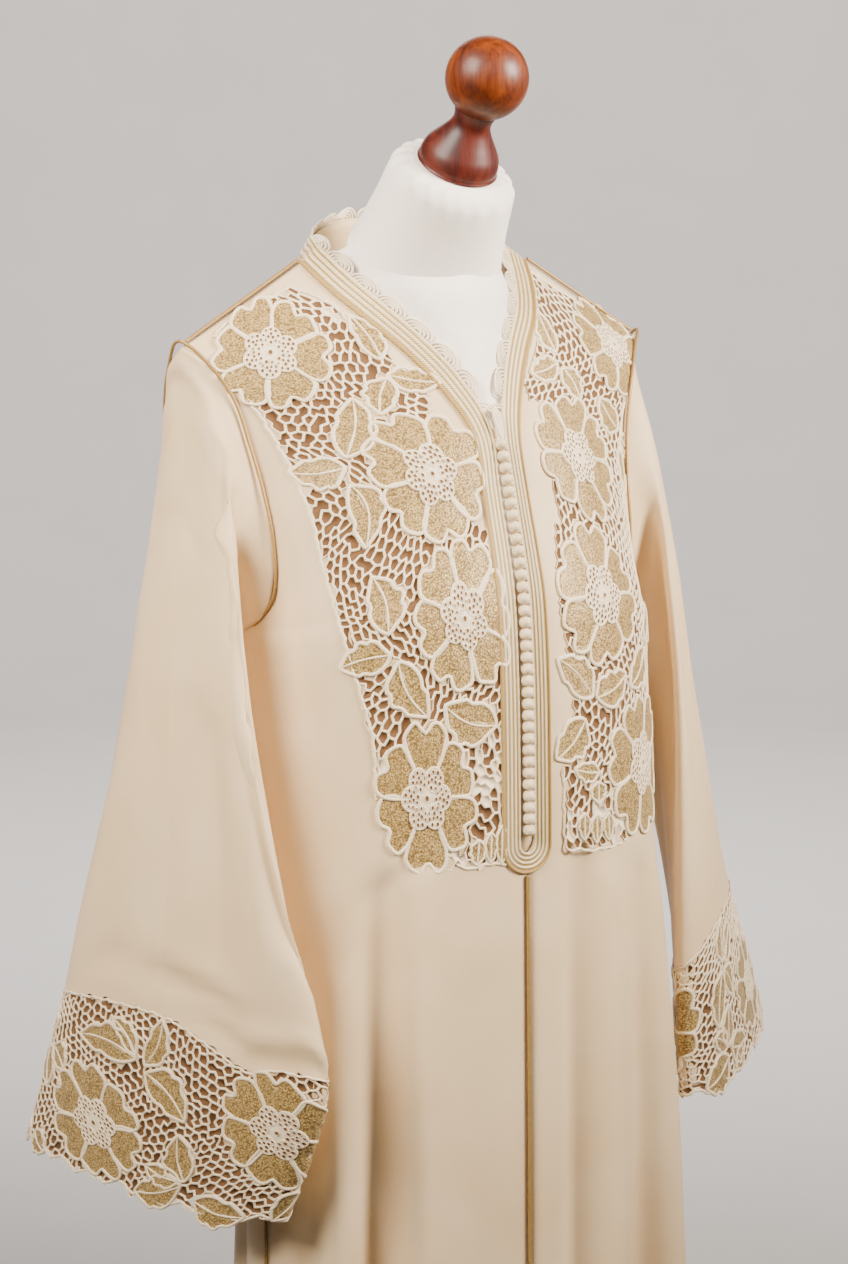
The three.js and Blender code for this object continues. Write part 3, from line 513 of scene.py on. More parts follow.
def walked(points, axis):
    steps = np.linalg.norm(np.diff(points, axis=axis), axis=-1)
    pad = [(0, 0), (0, 0)]
    pad[axis] = (1, 0)
    return np.cumsum(np.pad(steps, pad), axis=axis)


def creased(points, normals, creases, closed):
    # soft troughs (depth below zero) and ridges along short lines given in mm across and down
    acrossAll, down = walked(points, 1), walked(points, 0)
    girth, across = acrossAll[:, -1:], acrossAll
    moved = points.copy()
    for x0, y0, x1, y1, width, depth in creases:
        span = np.array([x1 - x0, y1 - y0], float)
        if closed:
            middle = (x0 + x1) / 2
            across = (acrossAll - middle + girth / 2) % girth - girth / 2 + middle
        share = ((across - x0) * span[0] + (down - y0) * span[1]) / span.dot(span)
        near = np.clip(share, 0, 1)
        off = np.hypot(across - x0 - near * span[0], down - y0 - near * span[1])
        fade = np.sin(np.pi * np.clip(share * 0.9 + 0.05, 0, 1)) ** 0.6
        moved += normals * (depth * np.exp(-(off / width) ** 2) * fade)[..., None]
    return moved


def clothPiece(name, node, points, slot, facing, creases=(), closed=False):
    # points[down, across] become one grid sheet that Solidify thickens inward
    rows, columns = points.shape[:2]
    normals = gridNormals(points, closed) * facing
    points = creased(points, normals, creases, closed)
    bm = bmesh.new()
    verts, places = gridCells(bm, columns - 1, rows - 1)
    across = np.rint(places[:, 0] * (columns - 1)).astype(int)
    down = np.rint((1 - places[:, 1]) * (rows - 1)).astype(int)
    moveVerts(verts, toMetres(points[down, across]))
    layer = bm.loops.layers.uv.verify()
    width, drop = walked(points, 1)[:, -1].max(), walked(points, 0)[-1].max()
    for loop in eachLoop(bm):
        loop[layer].uv = (loop[layer].uv[0] * width, loop[layer].uv[1] * drop)
    if closed:
        bmesh.ops.remove_doubles(bm, verts=bm.verts, dist=0.02 * mm)
    bm.normal_update()
    spots, outward = toMetres(points).reshape(-1, 3), normals.reshape(-1, 3)
    agreeing = sum(np.dot(face.normal, outward[np.argmin(np.abs(spots - face.calc_center_median()).sum(1))])
                   for face in bm.faces[:][::cloth["sampled"]])
    if agreeing < 0:
        bmesh.ops.reverse_faces(bm, faces=bm.faces)
    piece = newPiece(name, bm, [ivoryCrepe], slot, node)
    wall = piece.modifiers.new("clothWall", "SOLIDIFY")
    wall.thickness = cloth["wall"] * mm
    wall.offset = -1


def evenRows(table, first, last, step):
    # rows a given number of mm apart down the middle line
    fine = np.linspace(first, last, 1201)
    length = lengthsAlong(pointAt(table, fine))
    return np.interp(np.linspace(0, length[-1], int(round(length[-1] / step)) + 1), length, fine)


# ---- fronts, back and sleeves
slitRow = placeAtHeight(frontMiddle, slit["bottomZ"])
frontCloth = {  # a crease runs from x, y to x, y in mm along the cloth; its width and depth follow
    "columns": 56,
    "right": [
        (182, 200, 168, 330, 12, -4), (114, 470, 128, 1480, 14, -22), (86, 480, 82, 1480, 17, 12),
        (146, 520, 154, 1480, 14, 11), (170, 480, 176, 1480, 12, -10), (40, 580, 34, 1480, 20, -6)],
    "left": [
        (46, 480, 52, 1480, 14, -16), (18, 560, 18, 1480, 12, 4), (80, 500, 88, 1480, 15, 11),
        (118, 480, 130, 1480, 15, -15), (156, 480, 164, 1480, 15, 8)],
}
frontRows = evenRows(frontMiddle, 0, hem, cloth["step"])
frontHeights = columnAt(frontMiddle, "z", frontRows)
turnShare = np.clip((slit["bottomZ"] - frontHeights) / slit["turn"], 0, 1)
innerEdge = cloth["seamGap"] / 2 + (slit["half"] - cloth["seamGap"] / 2) * np.sqrt(1 - turnShare ** 2)
startShares = np.array([sharesAt(frontPoint, row, [edge])[0, 0] for row, edge in zip(frontRows, innerEdge)])
acrossSteps = np.linspace(0, 1, frontCloth["columns"])
frontShareGrid = startShares[:, None] + (1 - startShares)[:, None] * acrossSteps[None, :]
frontHalf = frontPoint(frontRows[:, None], frontShareGrid)
clothPiece("frontRightCloth", "front_right", frontHalf * [-1, 1, 1], "crepe", 1, frontCloth["right"])
clothPiece("frontLeftCloth", "front_left", frontHalf, "crepe", -1, frontCloth["left"])

backCloth = {
    "columns": 46,
    "creases": [
        (70, 420, 52, 1480, 20, -10), (130, 380, 126, 1480, 18, 7), (205, 300, 205, 1480, 22, -11),
        (268, 380, 278, 1480, 18, 7), (330, 420, 352, 1480, 20, -10), (60, 180, 150, 330, 18, -5),
        (330, 190, 262, 320, 17, -5)],
}
backRows = evenRows(backMiddle, 0, hem, cloth["step"])
backHalf = backPoint(backRows[:, None], np.linspace(0, 1, backCloth["columns"])[None, :])
backWhole = np.concatenate([backHalf[:, :0:-1] * [-1, 1, 1], backHalf], axis=1)
clothPiece("backCloth", "back", backWhole, "crepe", 1, backCloth["creases"])

sleeveCloth = {
    "around": 96, "down": 100, "endRight": 6.74, "endLeft": 6.75,
    "creasesRight": [
        (54, 40, 98, 190, 19, -8), (88, 34, 114, 110, 8, -7), (78, 60, 136, 44, 9, -8),
        (128, 44, 208, 24, 11, -12), (114, 100, 120, 210, 9, -9), (98, 178, 122, 360, 18, -10),
        (383, 101, 432, 122, 6, -1.4), (0, 122, 24, 138, 6, -1.4), (440, 12, 404, 96, 20, 4),
        (508, 2, 460, 60, 13, 3.2), (46, 250, 52, 446, 15, -7), (84, 270, 98, 424, 17, 5),
        (470, 416, 560, 446, 9, -3.5), (548, 444, 650, 447, 9, -5), (548, 430, 650, 433, 9, 3),
        (27, 463, 82, 469, 7, -5), (80, 460, 120, 438, 6, 3.5), (115, 441, 150, 410, 5, 3.5),
        (84, 476, 124, 453, 6, -3), (120, 456, 152, 425, 5, -3), (470, 240, 520, 420, 26, -6),
        (250, 60, 300, 440, 24, -8), (200, 120, 210, 440, 20, 5), (350, 150, 390, 440, 24, -6)],
    "creasesLeft": [
        (68, 50, 72, 330, 15, -4), (108, 60, 112, 330, 14, 3), (162, 71, 160, 300, 12, -4),
        (250, 70, 262, 330, 20, -5), (330, 60, 350, 330, 22, -4), (30, 180, 30, 340, 16, -3)],
}
sleeveAngles = np.linspace(0, 2 * np.pi, sleeveCloth["around"] + 1)


def sleeveGrid(table, places, angles):
    points = sleevePoint(table, np.asarray(places)[:, None], np.asarray(angles)[None, :])
    ease = sleeveTrough["underarmEase"] * (0.5 - 0.5 * np.cos(angles)) ** 2 + cloth["seamGap"] / 2
    normals = armholeNormal(angles)
    crossing = unit(np.array([1.0, 0, 0]) - normals * normals[:, :1])
    fade = np.clip(1 - np.asarray(places) / 0.35, 0, 1)
    return points + crossing[None] * (fade[:, None] * ease[None, :])[..., None]


for word, table, side in (("Right", rightSleeve, -1), ("Left", leftSleeve, 1)):
    sleevePlaces = np.linspace(0, sleeveCloth["end" + word], sleeveCloth["down"] + 1)
    points = sleeveGrid(table, sleevePlaces, sleeveAngles) * [side, 1, 1]
    clothPiece("sleeve%sCloth" % word, "sleeve_" + word.lower(), points, "crepe", side,
               sleeveCloth["creases" + word], closed=True)
print("cloth hung")


# ---- lace, drawn flat in mm (x across, y down, z off the cloth) and then bent onto the garment
def laceField(points, facing, step, x0=0.0, closed=False):
    return {"points": points, "normals": gridNormals(points, closed) * facing, "step": step, "x0": x0}


def onCloth(field, flat):
    flat = np.asarray(flat, float)
    rows, columns = field["points"].shape[:2]
    u = (flat[:, 0] - field["x0"]) / field["step"]
    v = flat[:, 1] / field["step"]
    i = np.clip(np.floor(u).astype(int), 0, columns - 2)
    j = np.clip(np.floor(v).astype(int), 0, rows - 2)
    fu, fv = (u - i)[:, None], (v - j)[:, None]
    blend = lambda grid: ((grid[j, i] * (1 - fu) + grid[j, i + 1] * fu) * (1 - fv)
                          + (grid[j + 1, i] * (1 - fu) + grid[j + 1, i + 1] * fu) * fv)
    return blend(field["points"]) + unit(blend(field["normals"])) * flat[:, 2:3]


lacePanel = {"step": 2.0, "top": 0.25, "bottomZ": 1034.0, "fromBraid": 0.9, "reach": 172.0, "margin": -6.0}
fineRows = np.linspace(lacePanel["top"], placeAtHeight(frontMiddle, lacePanel["bottomZ"]), 401)
braidEdge = columnAt(frontMiddle, "braid", fineRows) + lacePanel["fromBraid"]
middleDistance = (braidEdge + columnAt(frontMiddle, "lace", fineRows)) / 2
middleLength = lengthsAlong(frontPoint(fineRows, sharesAt(frontPoint, fineRows, middleDistance[:, None])[:, 0]))
panelRows = np.interp(np.arange(0, middleLength[-1], lacePanel["step"]), middleLength, fineRows)
panelAcross = np.arange(lacePanel["margin"], lacePanel["reach"], lacePanel["step"])
panelEdge = np.interp(panelRows, fineRows, braidEdge)
panelShares = sharesAt(frontPoint, panelRows, panelEdge[:, None] + panelAcross[None, :])
panelPoints = frontPoint(panelRows[:, None], panelShares)


def panelField(side):
    return laceField(panelPoints * [side, 1, 1], -side, lacePanel["step"], lacePanel["margin"])


cuffLace = {"step": 2.0, "top": 4.86, "seamAngle": math.pi, "girthPlace": 6.0}


def cuffField(table, side):
    step = cuffLace["step"]
    fine = np.linspace(0, 2 * np.pi, 721) + cuffLace["seamAngle"]
    length = lengthsAlong(sleeveGrid(table, [cuffLace["girthPlace"]], fine)[0])
    around = int(round(length[-1] / step))
    angles = np.interp(np.linspace(0, length[-1], around + 1), length, fine)
    placeSteps = np.linspace(cuffLace["top"], sleeveMouth, 201)
    drop = lengthsAlong(sleeveGrid(table, placeSteps, [0.0])[:, 0])
    places = np.interp(np.arange(0, drop[-1] + 0.01, step), drop, placeSteps)
    field = laceField(sleeveGrid(table, places, angles) * [side, 1, 1], side, length[-1] / around, closed=True)
    field["length"] = length[-1]
    return field


# tan is the floor of every hole: a lining darkened into painted shade
satin, gold, tan = 0, 1, 2  # the order of the threads on every lace piece

laceWork = {  # in mm, with flowers drawn at one reach and leaves at one width before they are scaled
    "strand": 1.8, "side": 4.2, "jitter": 1.25, "merged": 0.24, "solid": 0.0, "netTop": 0.95, "floor": 0.14,
    "petals": 6, "petalReach": 47.0, "petalMargin": 1.6, "petalLift": 0.16, "medallion": 16.5,
    "medallionMargin": 17.5, "medallionLift": 1.5, "lobes": 6, "lobeOut": 13.4, "lobeRadius": 8.5,
    "lobeLift": 1.7, "outerEyelets": (5.5, 8), "innerEyelets": (1.9, 3), "middleEyelet": 1.35, "eyelet": 1.2,
    "eyeletWall": 0.62, "eyeletLift": 2.42, "leafWidth": 22, "leafMargin": 1.4, "leafLift": 0.22,
    "leafRim": 3.0 * 0.82 * 0.45 / 19, "ribWidth": 1.7, "ribHeight": 0.75, "ribBase": 1.25,
}


def throughMarks(marks, places):  # a smooth line through the marks; place 0 is the first mark
    marks = np.asarray(marks, float)
    return np.stack([columnAt({"mark": column}, "mark", places) for column in marks.T], axis=-1)


def closedCurve(marks, count):  # evenly spaced points on a smooth closed line through the marks
    wrapped = np.concatenate([marks[-2:], marks, marks[:3]])
    curve = throughMarks(wrapped, np.linspace(2, 2 + len(marks), 40 * len(marks) + 1))
    return pointsAfter(curve, np.linspace(0, lengthsAlong(curve)[-1], count + 1)[:-1])


def openCurve(marks, step):
    curve = throughMarks(marks, np.linspace(0, len(marks) - 1, 30 * len(marks)))
    length = lengthsAlong(curve)[-1]
    return pointsAfter(curve, np.linspace(0, length, max(3, int(length / step))))


def roundOutline(x, y, radius, count, turn=0.0):
    angles = np.linspace(0, 2 * np.pi, count + 1)[:-1] + turn
    return np.stack([x + radius * np.cos(angles), y + radius * np.sin(angles)], axis=-1)


def insideOutline(points, outline):
    x, y = points[:, 0][:, None], points[:, 1][:, None]
    ax, ay = outline[:, 0][None], outline[:, 1][None]
    bx, by = np.roll(ax, -1), np.roll(ay, -1)
    crosses = ((ay > y) != (by > y)) & (x < (bx - ax) * (y - ay) / np.where(by == ay, 1e-9, by - ay) + ax)
    return crosses.sum(axis=1) % 2 == 1


def shrunk(outline, distance):
    middle = outline.mean(axis=0)
    arms = outline - middle
    reach = np.linalg.norm(arms, axis=1, keepdims=True)
    return middle + arms * np.maximum(1 - distance / np.maximum(reach, 1e-6), 0.1)


def cordStrip(bm, path, width, height, base, taper=0.0):
    # a low rounded cord along a flat path; taper narrows both ends
    path = np.asarray(path, float)
    count = len(path) - 1
    along = np.gradient(path, axis=0)
    side = unit(np.stack([-along[:, 1], along[:, 0]], axis=-1))
    earlier = len(bm.faces)
    verts, places = gridCells(bm, count, 4)
    at = np.rint(places[:, 0] * count).astype(int)
    across = 2 * places[:, 1] - 1
    ends = np.minimum(at, count - at) / max(count, 1)
    thin = 1 - taper * (1 - np.clip(ends * 5, 0, 1))
    offset = across * width / 2 * thin
    rise = base + height * np.sqrt(np.clip(1 - across ** 2, 0, 1)) * thin
    flat = path[at] + side[at] * offset[:, None]
    moveVerts(verts, np.concatenate([flat, rise[:, None]], axis=1))
    # the last faces in the list turn cream; a few of them are floors beside the cord, not its own
    bm.faces.ensure_lookup_table()
    for face in bm.faces[earlier:]:
        face.material_index = satin


def netting(bm, region, blockers, draw, stretch):
    # honeycomb from a triangle lattice: every third corner dissolved, cells inset to strands and floors
    side, strand, top, jitter = [laceWork[key] for key in ("side", "strand", "netTop", "jitter")]
    low, high = region.min(axis=0), region.max(axis=0)
    stepX, stepY = side * stretch[0], side * stretch[1] * math.sqrt(0.75)
    columns, rows = int((high[0] - low[0]) / stepX) + 3, int((high[1] - low[1]) / stepY) + 3
    made = bmesh.ops.create_grid(bm, x_segments=columns, y_segments=rows, size=0.5)["verts"]
    centres = []
    phase = [draw.uniform(0, 6.3) for _ in range(4)]
    for vert in made:
        i, j = round((vert.co.x + 0.5) * columns), round((vert.co.y + 0.5) * rows)
        vert.co = (low[0] + (i - 1 + (j % 2) / 2) * stepX, low[1] + (j - 1) * stepY, 0)
        if (i - j // 2 - j) % 3 == 0:
            centres.append(vert)
    faces = list({face for vert in made for face in vert.link_faces})
    bmesh.ops.triangulate(bm, faces=faces, quad_method="SHORT_EDGE")
    bmesh.ops.dissolve_verts(bm, verts=centres)
    made = [vert for vert in made if vert.is_valid]
    for vert in made:
        x, y = vert.co.xy
        x += 1.3 * side * math.sin(y / 21 + phase[0]) + 0.5 * side * math.sin(x / 13 + y / 17 + phase[1])
        y += 0.9 * side * math.sin(x / 25 + phase[2]) + 0.4 * side * math.sin(x / 15 - y / 11 + phase[3])
        vert.co = (x + draw.uniform(-jitter, jitter), y + draw.uniform(-jitter, jitter), 0)
    bm.faces.index_update()
    faces = sorted({face for vert in made for face in vert.link_faces}, key=lambda f: f.index)
    middles = np.array([face.calc_center_median()[:2] for face in faces])
    keep = insideOutline(middles, region)
    for outline in blockers:
        keep &= ~insideOutline(middles, outline)
    keep &= np.array([len(face.verts) < 8 for face in faces])
    bmesh.ops.delete(bm, geom=[face for face, kept in zip(faces, keep) if not kept], context="FACES")
    cells = [face for face, kept in zip(faces, keep) if kept]
    corners = {vert for face in cells for vert in face.verts}
    taken, joined = set(), []
    for face in cells:
        if face in taken or draw.random() > laceWork["merged"]:
            continue
        edges = [edge for edge in face.edges if len(edge.link_faces) == 2 and not taken & set(edge.link_faces)]
        if edges:
            edge = edges[draw.randrange(len(edges))]
            joined.append(edge)
            taken |= set(edge.link_faces)
    bmesh.ops.dissolve_edges(bm, edges=joined, use_verts=False)
    bm.faces.index_update()
    cells = {face for vert in corners if vert.is_valid for face in vert.link_faces}
    cells = sorted(cells, key=lambda face: face.index)
    for vert in corners:
        if vert.is_valid:
            vert.co.z = top
    holes = [face for face in cells if draw.random() >= laceWork["solid"]]
    for inward, height in ((strand * 0.22, top * 0.93), (strand * 0.24, top * 0.6), (0.1, laceWork["floor"])):
        bmesh.ops.inset_individual(bm, faces=holes, thickness=inward, use_even_offset=True)
        for face in holes:
            for vert in face.verts:
                vert.co.z = height
    # every hole floor takes the tan lining, darkened as painted shade for the dark seen down the hole
    for face in holes:
        face.material_index = tan


petalHalf = [(14, 8.6), (19, 12.2), (25, 15.6), (31, 18.6), (37, 19.6), (42.5, 16.8), (46.3, 11.4), (46.4, 6.2),
             (42.5, 2)]
leafEdge = [(0, 0.8), (0.1, 7), (0.2, 12.6), (0.34, 14.4), (0.4, 12.6), (0.5, 15.2), (0.6, 14.2), (0.66, 10.6),
            (0.8, 10.2), (0.92, 5), (1, 0)]
leafBack = [(0.92, 4.4), (0.78, 9.4), (0.66, 12.8), (0.56, 12), (0.42, 14), (0.24, 12), (0.08, 6)]
stitches = {  # how far in, height and thread; a negative share draws the filling in towards its middle
    "petal": [(0.3, 1.1, satin), (0.4, 1.62, satin), (1, 1.86, satin), (1, 1.6, satin), (0.3, 1.05, satin),
              (0.25, 0.95, gold), (-0.2, 1.12, gold), (-0.45, 1.35, gold)],
    "leaf": [(0.25, 0.9, satin), (0.35, 1.35, satin), ("rim", 1.6, satin), ("rim", 1.4, satin),
             (0.25, 0.95, satin), (0.2, 0.85, gold), (-0.3, 1.05, gold)],
    "medallion": [(0.6, 0.75, satin)],
    "lobe": [(0.2, 0.6, satin), (0.5, 0.95, satin), (0.6, 0.6, satin)],
    # the eyelet's last step is a tan floor, painted shade at the bottom of the hole
    "eyelet": [(laceWork["eyeletWall"] * 0.5, 0.5, satin), (laceWork["eyeletWall"] * 0.4, 0.2, satin),
               (0.06, 0.14, tan)],
}


def stitchedPatch(bm, outline, lift, steps, domed=0.0):
    # a capped circle pulled to the outline, then inset step by step
    verts = bmesh.ops.create_circle(bm, cap_ends=True, segments=len(outline), radius=1)["verts"]
    face = verts[0].link_faces[0]
    moveVerts([loop.vert for loop in face.loops], [(x, y, lift) for x, y in outline])
    for inward, height, material in steps:
        rim = bmesh.ops.inset_region(bm, faces=[face], thickness=max(inward, 0), use_boundary=True,
                                     use_even_offset=False)["faces"]
        if inward < 0:
            middle = face.calc_center_median()
            for vert in face.verts:
                vert.co = vert.co.lerp(middle, -inward)
        for ring in rim + [face]:
            ring.material_index = material
        for vert in face.verts:
            vert.co.z = lift + height
    centre = bmesh.ops.poke(bm, faces=[face])["verts"][0]
    centre.co.z = lift + steps[-1][1] + domed


def joinMotif(bm, motif):
    mesh = bpy.data.meshes.new("motif")
    motif.to_mesh(mesh)
    motif.free()
    bm.from_mesh(mesh)
    bpy.data.meshes.remove(mesh)


def addFlower(whole, field, flower, draw, blockers):
    # notched petals round an eyelet medallion
    bm = bmesh.new()
    centre, reach, turn = np.array(flower[:2], float), np.array(flower[2:4]), flower[4]
    local = localShape(field, centre)
    place = lambda marks: centre + (np.asarray(marks) * reach / laceWork["petalReach"]) @ local.T
    for k in range(laceWork["petals"]):
        heading = turn + k * 2 * math.pi / laceWork["petals"] + draw.uniform(-0.03, 0.03)
        size, wide, lean = draw.uniform(0.93, 1.05), draw.uniform(0.98, 1.03), draw.uniform(-2.2, 2.2)
        marks = []
        for half, side in ((petalHalf, 1), (petalHalf[::-1], -1)):
            marks += [(r * size + draw.uniform(-0.7, 0.7),
                       side * w * wide * draw.uniform(0.97, 1.03) + lean * (r > 40)) for r, w in half]
            marks += [(40.5 * size, lean * 0.8)] * (side > 0)
        spin = np.array([[math.cos(heading), -math.sin(heading)], [math.sin(heading), math.cos(heading)]])
        outline = place(closedCurve(np.array(marks), 46) @ spin.T)
        blockers.append(shrunk(outline, laceWork["petalMargin"]))
        stitchedPatch(bm, outline, laceWork["petalLift"] * (1 + k % 3), stitches["petal"], 0.12)
    # the medallion: a ring of small round lobes, each pierced by eyelets, and one eyelet at the middle
    disc = place(roundOutline(0, 0, laceWork["medallion"], 24))
    stitchedPatch(bm, disc, laceWork["medallionLift"], stitches["medallion"])
    spots = [(0, 0)]
    for k in range(laceWork["lobes"]):
        heading = turn + (k + 0.5) * 2 * math.pi / laceWork["lobes"]
        x, y = laceWork["lobeOut"] * math.cos(heading), laceWork["lobeOut"] * math.sin(heading)
        outline = place(roundOutline(x, y, laceWork["lobeRadius"] * draw.uniform(0.95, 1.04), 20))
        stitchedPatch(bm, outline, laceWork["lobeLift"] + 0.05 * (k % 2), stitches["lobe"], 0.05)
        first = draw.uniform(0, 1)
        spots += [*roundOutline(x, y, *laceWork["outerEyelets"], first),
                  *roundOutline(x, y, *laceWork["innerEyelets"], 2 * first)]
    for x, y in spots:
        x, y = x + draw.uniform(-0.3, 0.3), y + draw.uniform(-0.3, 0.3)
        size = laceWork["eyelet"] * draw.uniform(0.8, 1.15)
        size *= laceWork["middleEyelet"] if x * x + y * y < 1 else 1
        ring = place(roundOutline(x, y, size + laceWork["eyeletWall"], 8))
        stitchedPatch(bm, ring, laceWork["eyeletLift"], stitches["eyelet"])
    blockers.append(place(roundOutline(0, 0, laceWork["medallionMargin"], 24)))
    joinMotif(whole, bm)


def addLeaf(whole, leaf, draw, blockers):
    # a saw-edged leaf from base to tip with a raised rib
    bm = bmesh.new()
    base, tip, (width, bend) = np.array(leaf[:2], float), np.array(leaf[2:4], float), leaf[4:]
    length = np.linalg.norm(tip - base)
    axis = (tip - base) / length
    side = np.array([-axis[1], axis[0]]) * (1 if draw.random() > 0.5 else -1)
    curve = lambda s: bend * length * math.sin(math.pi * min(max(s, 0), 1))
    flat = [(s * length, sign * w * width / laceWork["leafWidth"] + curve(s))
            for marks, sign in ((leafEdge, 1), (leafBack, -1)) for s, w in marks]
    local = closedCurve(np.array(flat), 44)
    outline = base + local[:, :1] * axis + local[:, 1:] * side
    following = np.roll(outline, -1, axis=0)
    if np.sum(outline[:, 0] * following[:, 1] - following[:, 0] * outline[:, 1]) < 0:
        outline = outline[::-1]
    blockers.append(shrunk(outline, laceWork["leafMargin"]))
    rim = min(1, laceWork["leafRim"] * width)
    steps = [(rim if inward == "rim" else inward, height, thread)
             for inward, height, thread in stitches["leaf"]]
    stitchedPatch(bm, outline, laceWork["leafLift"], steps, 0.25)
    rib = [base + axis * s * length + side * curve(s) * 1.05 for s in np.linspace(0.0, 0.98, 14)]
    cordStrip(bm, rib, laceWork["ribWidth"], laceWork["ribHeight"], laceWork["ribBase"], taper=0.75)
    joinMotif(whole, bm)


def localShape(field, centre):
    # undoes the stretch of the flat drawing at one place, so that a round flower stays round
    h = 2.0
    p = onCloth(field, [(centre[0] + a, centre[1] + b, 0) for a, b in ((h, 0), (-h, 0), (0, h), (0, -h))])
    ex, ey = (p[0] - p[1]) / (2 * h), (p[2] - p[3]) / (2 * h)
    values, vectors = np.linalg.eigh(np.array([[ex.dot(ex), ex.dot(ey)], [ex.dot(ey), ey.dot(ey)]]))
    return vectors @ np.diag(values ** -0.5) @ vectors.T


def lacePiece(name, node, field, plan, seed):
    draw = random.Random(seed)
    bm = bmesh.new()
    blockers = []
    for flower in plan["flowers"]:
        addFlower(bm, field, flower, draw, blockers)
    for leaf in plan["leaves"]:
        addLeaf(bm, leaf, draw, blockers)
    netting(bm, np.array(plan["region"], float), blockers, draw, plan["stretch"])
    for path, width in plan["cords"]:
        line = openCurve(path, 2.2)
        at = np.arange(len(line))
        waver = 0.8 * np.sin(at * 1.1 + draw.uniform(0, 6)) * np.sin(at * 0.37)
        line[1:-1] += np.stack([waver, -waver], axis=-1)[1:-1]
        cordStrip(bm, line, width, 1.0, 0.3)
    layer = bm.loops.layers.uv.verify()
    for loop in eachLoop(bm):
        loop[layer].uv = loop.vert.co.xy
    flat = np.array([vert.co for vert in bm.verts])
    flat[:, 0] = np.clip(flat[:, 0], plan["ends"][0], plan["ends"][1])
    moveVerts(bm.verts, toMetres(onCloth(field, flat)))
    corner = np.array([(0, 0, 0), (1, 0, 0), (0, 1, 0), (0, 0, 1)]) + [*plan["flowers"][0][:2], 0]
    corner = onCloth(field, corner)
    if np.dot(np.cross(corner[1] - corner[0], corner[2] - corner[0]), corner[3] - corner[0]) < 0:
        bmesh.ops.reverse_faces(bm, faces=bm.faces)
    print(name, "triangles", sum(len(face.verts) - 2 for face in bm.faces))
    newPiece(name, bm, [satinThread, goldSeedPaintedLight, liningPaintedShade], "lace", node)


# a flower is x, y, its reach across and down, and its turn; a leaf is its base, tip, width and bend;
# a cord is its marks and width
rightPanelPlan = {
    "flowers": [
        (68, 42, 44, 45, 0.3), (38, 176, 42, 51, 0.52), (26, 274, 39, 52, 0.1), (58, 394, 39, 52, 0.5)],
    "leaves": [
        (16, 88, 4, 46, 15, 0.06), (22, 98, -6, 124, 17, -0.05), (22, 100, 47, 122, 19, 0.08),
        (87, 138, 52, 100, 23, 0.06), (90, 144, 126, 129, 22, 0.08), (96, 156, 94, 207, 22, 0.1),
        (82, 276, 92, 227, 22, 0.08), (80, 290, 118, 296, 21, 0.06), (76, 294, 55, 338, 22, 0.1),
        (2, 350, 44, 330, 26, 0.12), (18, 428, 20, 448, 11, 0), (8, 424, 9, 448, 9, 0),
        (-1, 420, 0, 450, 9, 0)],
    "region": [
        (18, 5), (84, 3), (98, 40), (110, 86), (121, 128), (129, 170), (122, 225), (112, 274), (102, 315),
        (94, 350), (92, 392), (80, 428), (40, 444), (0, 448), (-6, 448), (-6, 232), (28, 215), (28, 150),
        (10, 130), (10, 104), (12, 76), (6, 34)],
    "cords": [
        ([(18, 4), (50, 2.5), (84, 2), (98, 40), (111, 86), (122, 128), (130, 170), (123, 225), (113, 274),
          (103, 315), (95, 350), (93, 392)], 2.4),
        ([(18, 4), (6, 34), (12, 76), (9, 104)], 2), ([(36, 444), (24, 449), (12, 447), (-4, 450)], 2.4)],
    "stretch": (0.92, 1.22), "ends": (-np.inf, np.inf),
}
leftPanelPlan = {
    "flowers": [
        (84, 33, 43, 42, 0.7), (62, 158, 46, 48, 0.25), (58, 262, 46, 52, 0.45), (100, 388, 44, 52, 0.2)],
    "leaves": [
        (26, 80, -2, 48, 17, 0.06), (30, 86, 5, 112, 18, -0.06), (34, 88, 62, 108, 19, 0.08),
        (120, 108, 82, 92, 22, 0.06), (126, 110, 152, 118, 20, 0.06), (128, 116, 140, 162, 22, 0.1),
        (40, 336, 6, 308, 22, 0.08), (42, 336, 80, 318, 22, -0.08), (32, 350, 3, 379, 23, 0.08),
        (46, 390, 20, 386, 13, 0.05), (44, 396, 44, 414, 14, 0), (30, 418, 30, 440, 10, 0),
        (42, 420, 42, 443, 10, 0), (54, 420, 55, 442, 10, 0), (114, 300, 84, 330, 22, 0.08),
        (118, 298, 140, 262, 22, 0.08)],
    "region": [
        (1, 5), (96, 3), (108, 40), (120, 86), (131, 128), (137, 170), (134, 225), (130, 274), (124, 315),
        (118, 350), (116, 392), (104, 430), (60, 444), (14, 442), (12, 380), (20, 345), (14, 300), (16, 235),
        (30, 215), (30, 150), (2, 124), (1, 60)],
    "cords": [
        ([(1, 4), (50, 2.5), (96, 2), (109, 40), (121, 86), (132, 128), (138, 170), (135, 225), (131, 274),
          (125, 315), (119, 350), (117, 392)], 2.4),
        ([(1, 4), (0.6, 60), (1.5, 124)], 2),
        ([(70, 445), (40, 447), (24, 445), (13, 443), (11, 420), (11, 384)], 2.2)],
    "stretch": (0.92, 1.22), "ends": (-np.inf, np.inf),
}
lacePiece("laceRightPanel", "lace_panel_right", panelField(-1), rightPanelPlan, 10)
lacePiece("laceLeftPanel", "lace_panel_left", panelField(1), leftPanelPlan, 12)
print("lace panels worked")


# ---- cuff lace: the same motifs round the sleeve, its lower edge cut along petals and leaves

def cuffPiece(name, node, field, seed, flowers, leaves, topMarks, hemMarks):
    length = field["length"]
    top = [(x * length, y) for x, y in topMarks]
    lower = [(x * length, y) for x, y in hemMarks]
    seams = [([(x, y) for y in np.linspace(top[end][1], lower[end][1], 12)], 1.6)
             for x, end in ((0.8, 0), (length - 0.8, -1))]
    lacePiece(name, node, field, {
        "flowers": flowers, "leaves": leaves, "region": top + lower[::-1], "stretch": (1.12, 0.98),
        "ends": (0, length), "cords": [(top, 1.9), (lower, 2.6), *seams]}, seed)


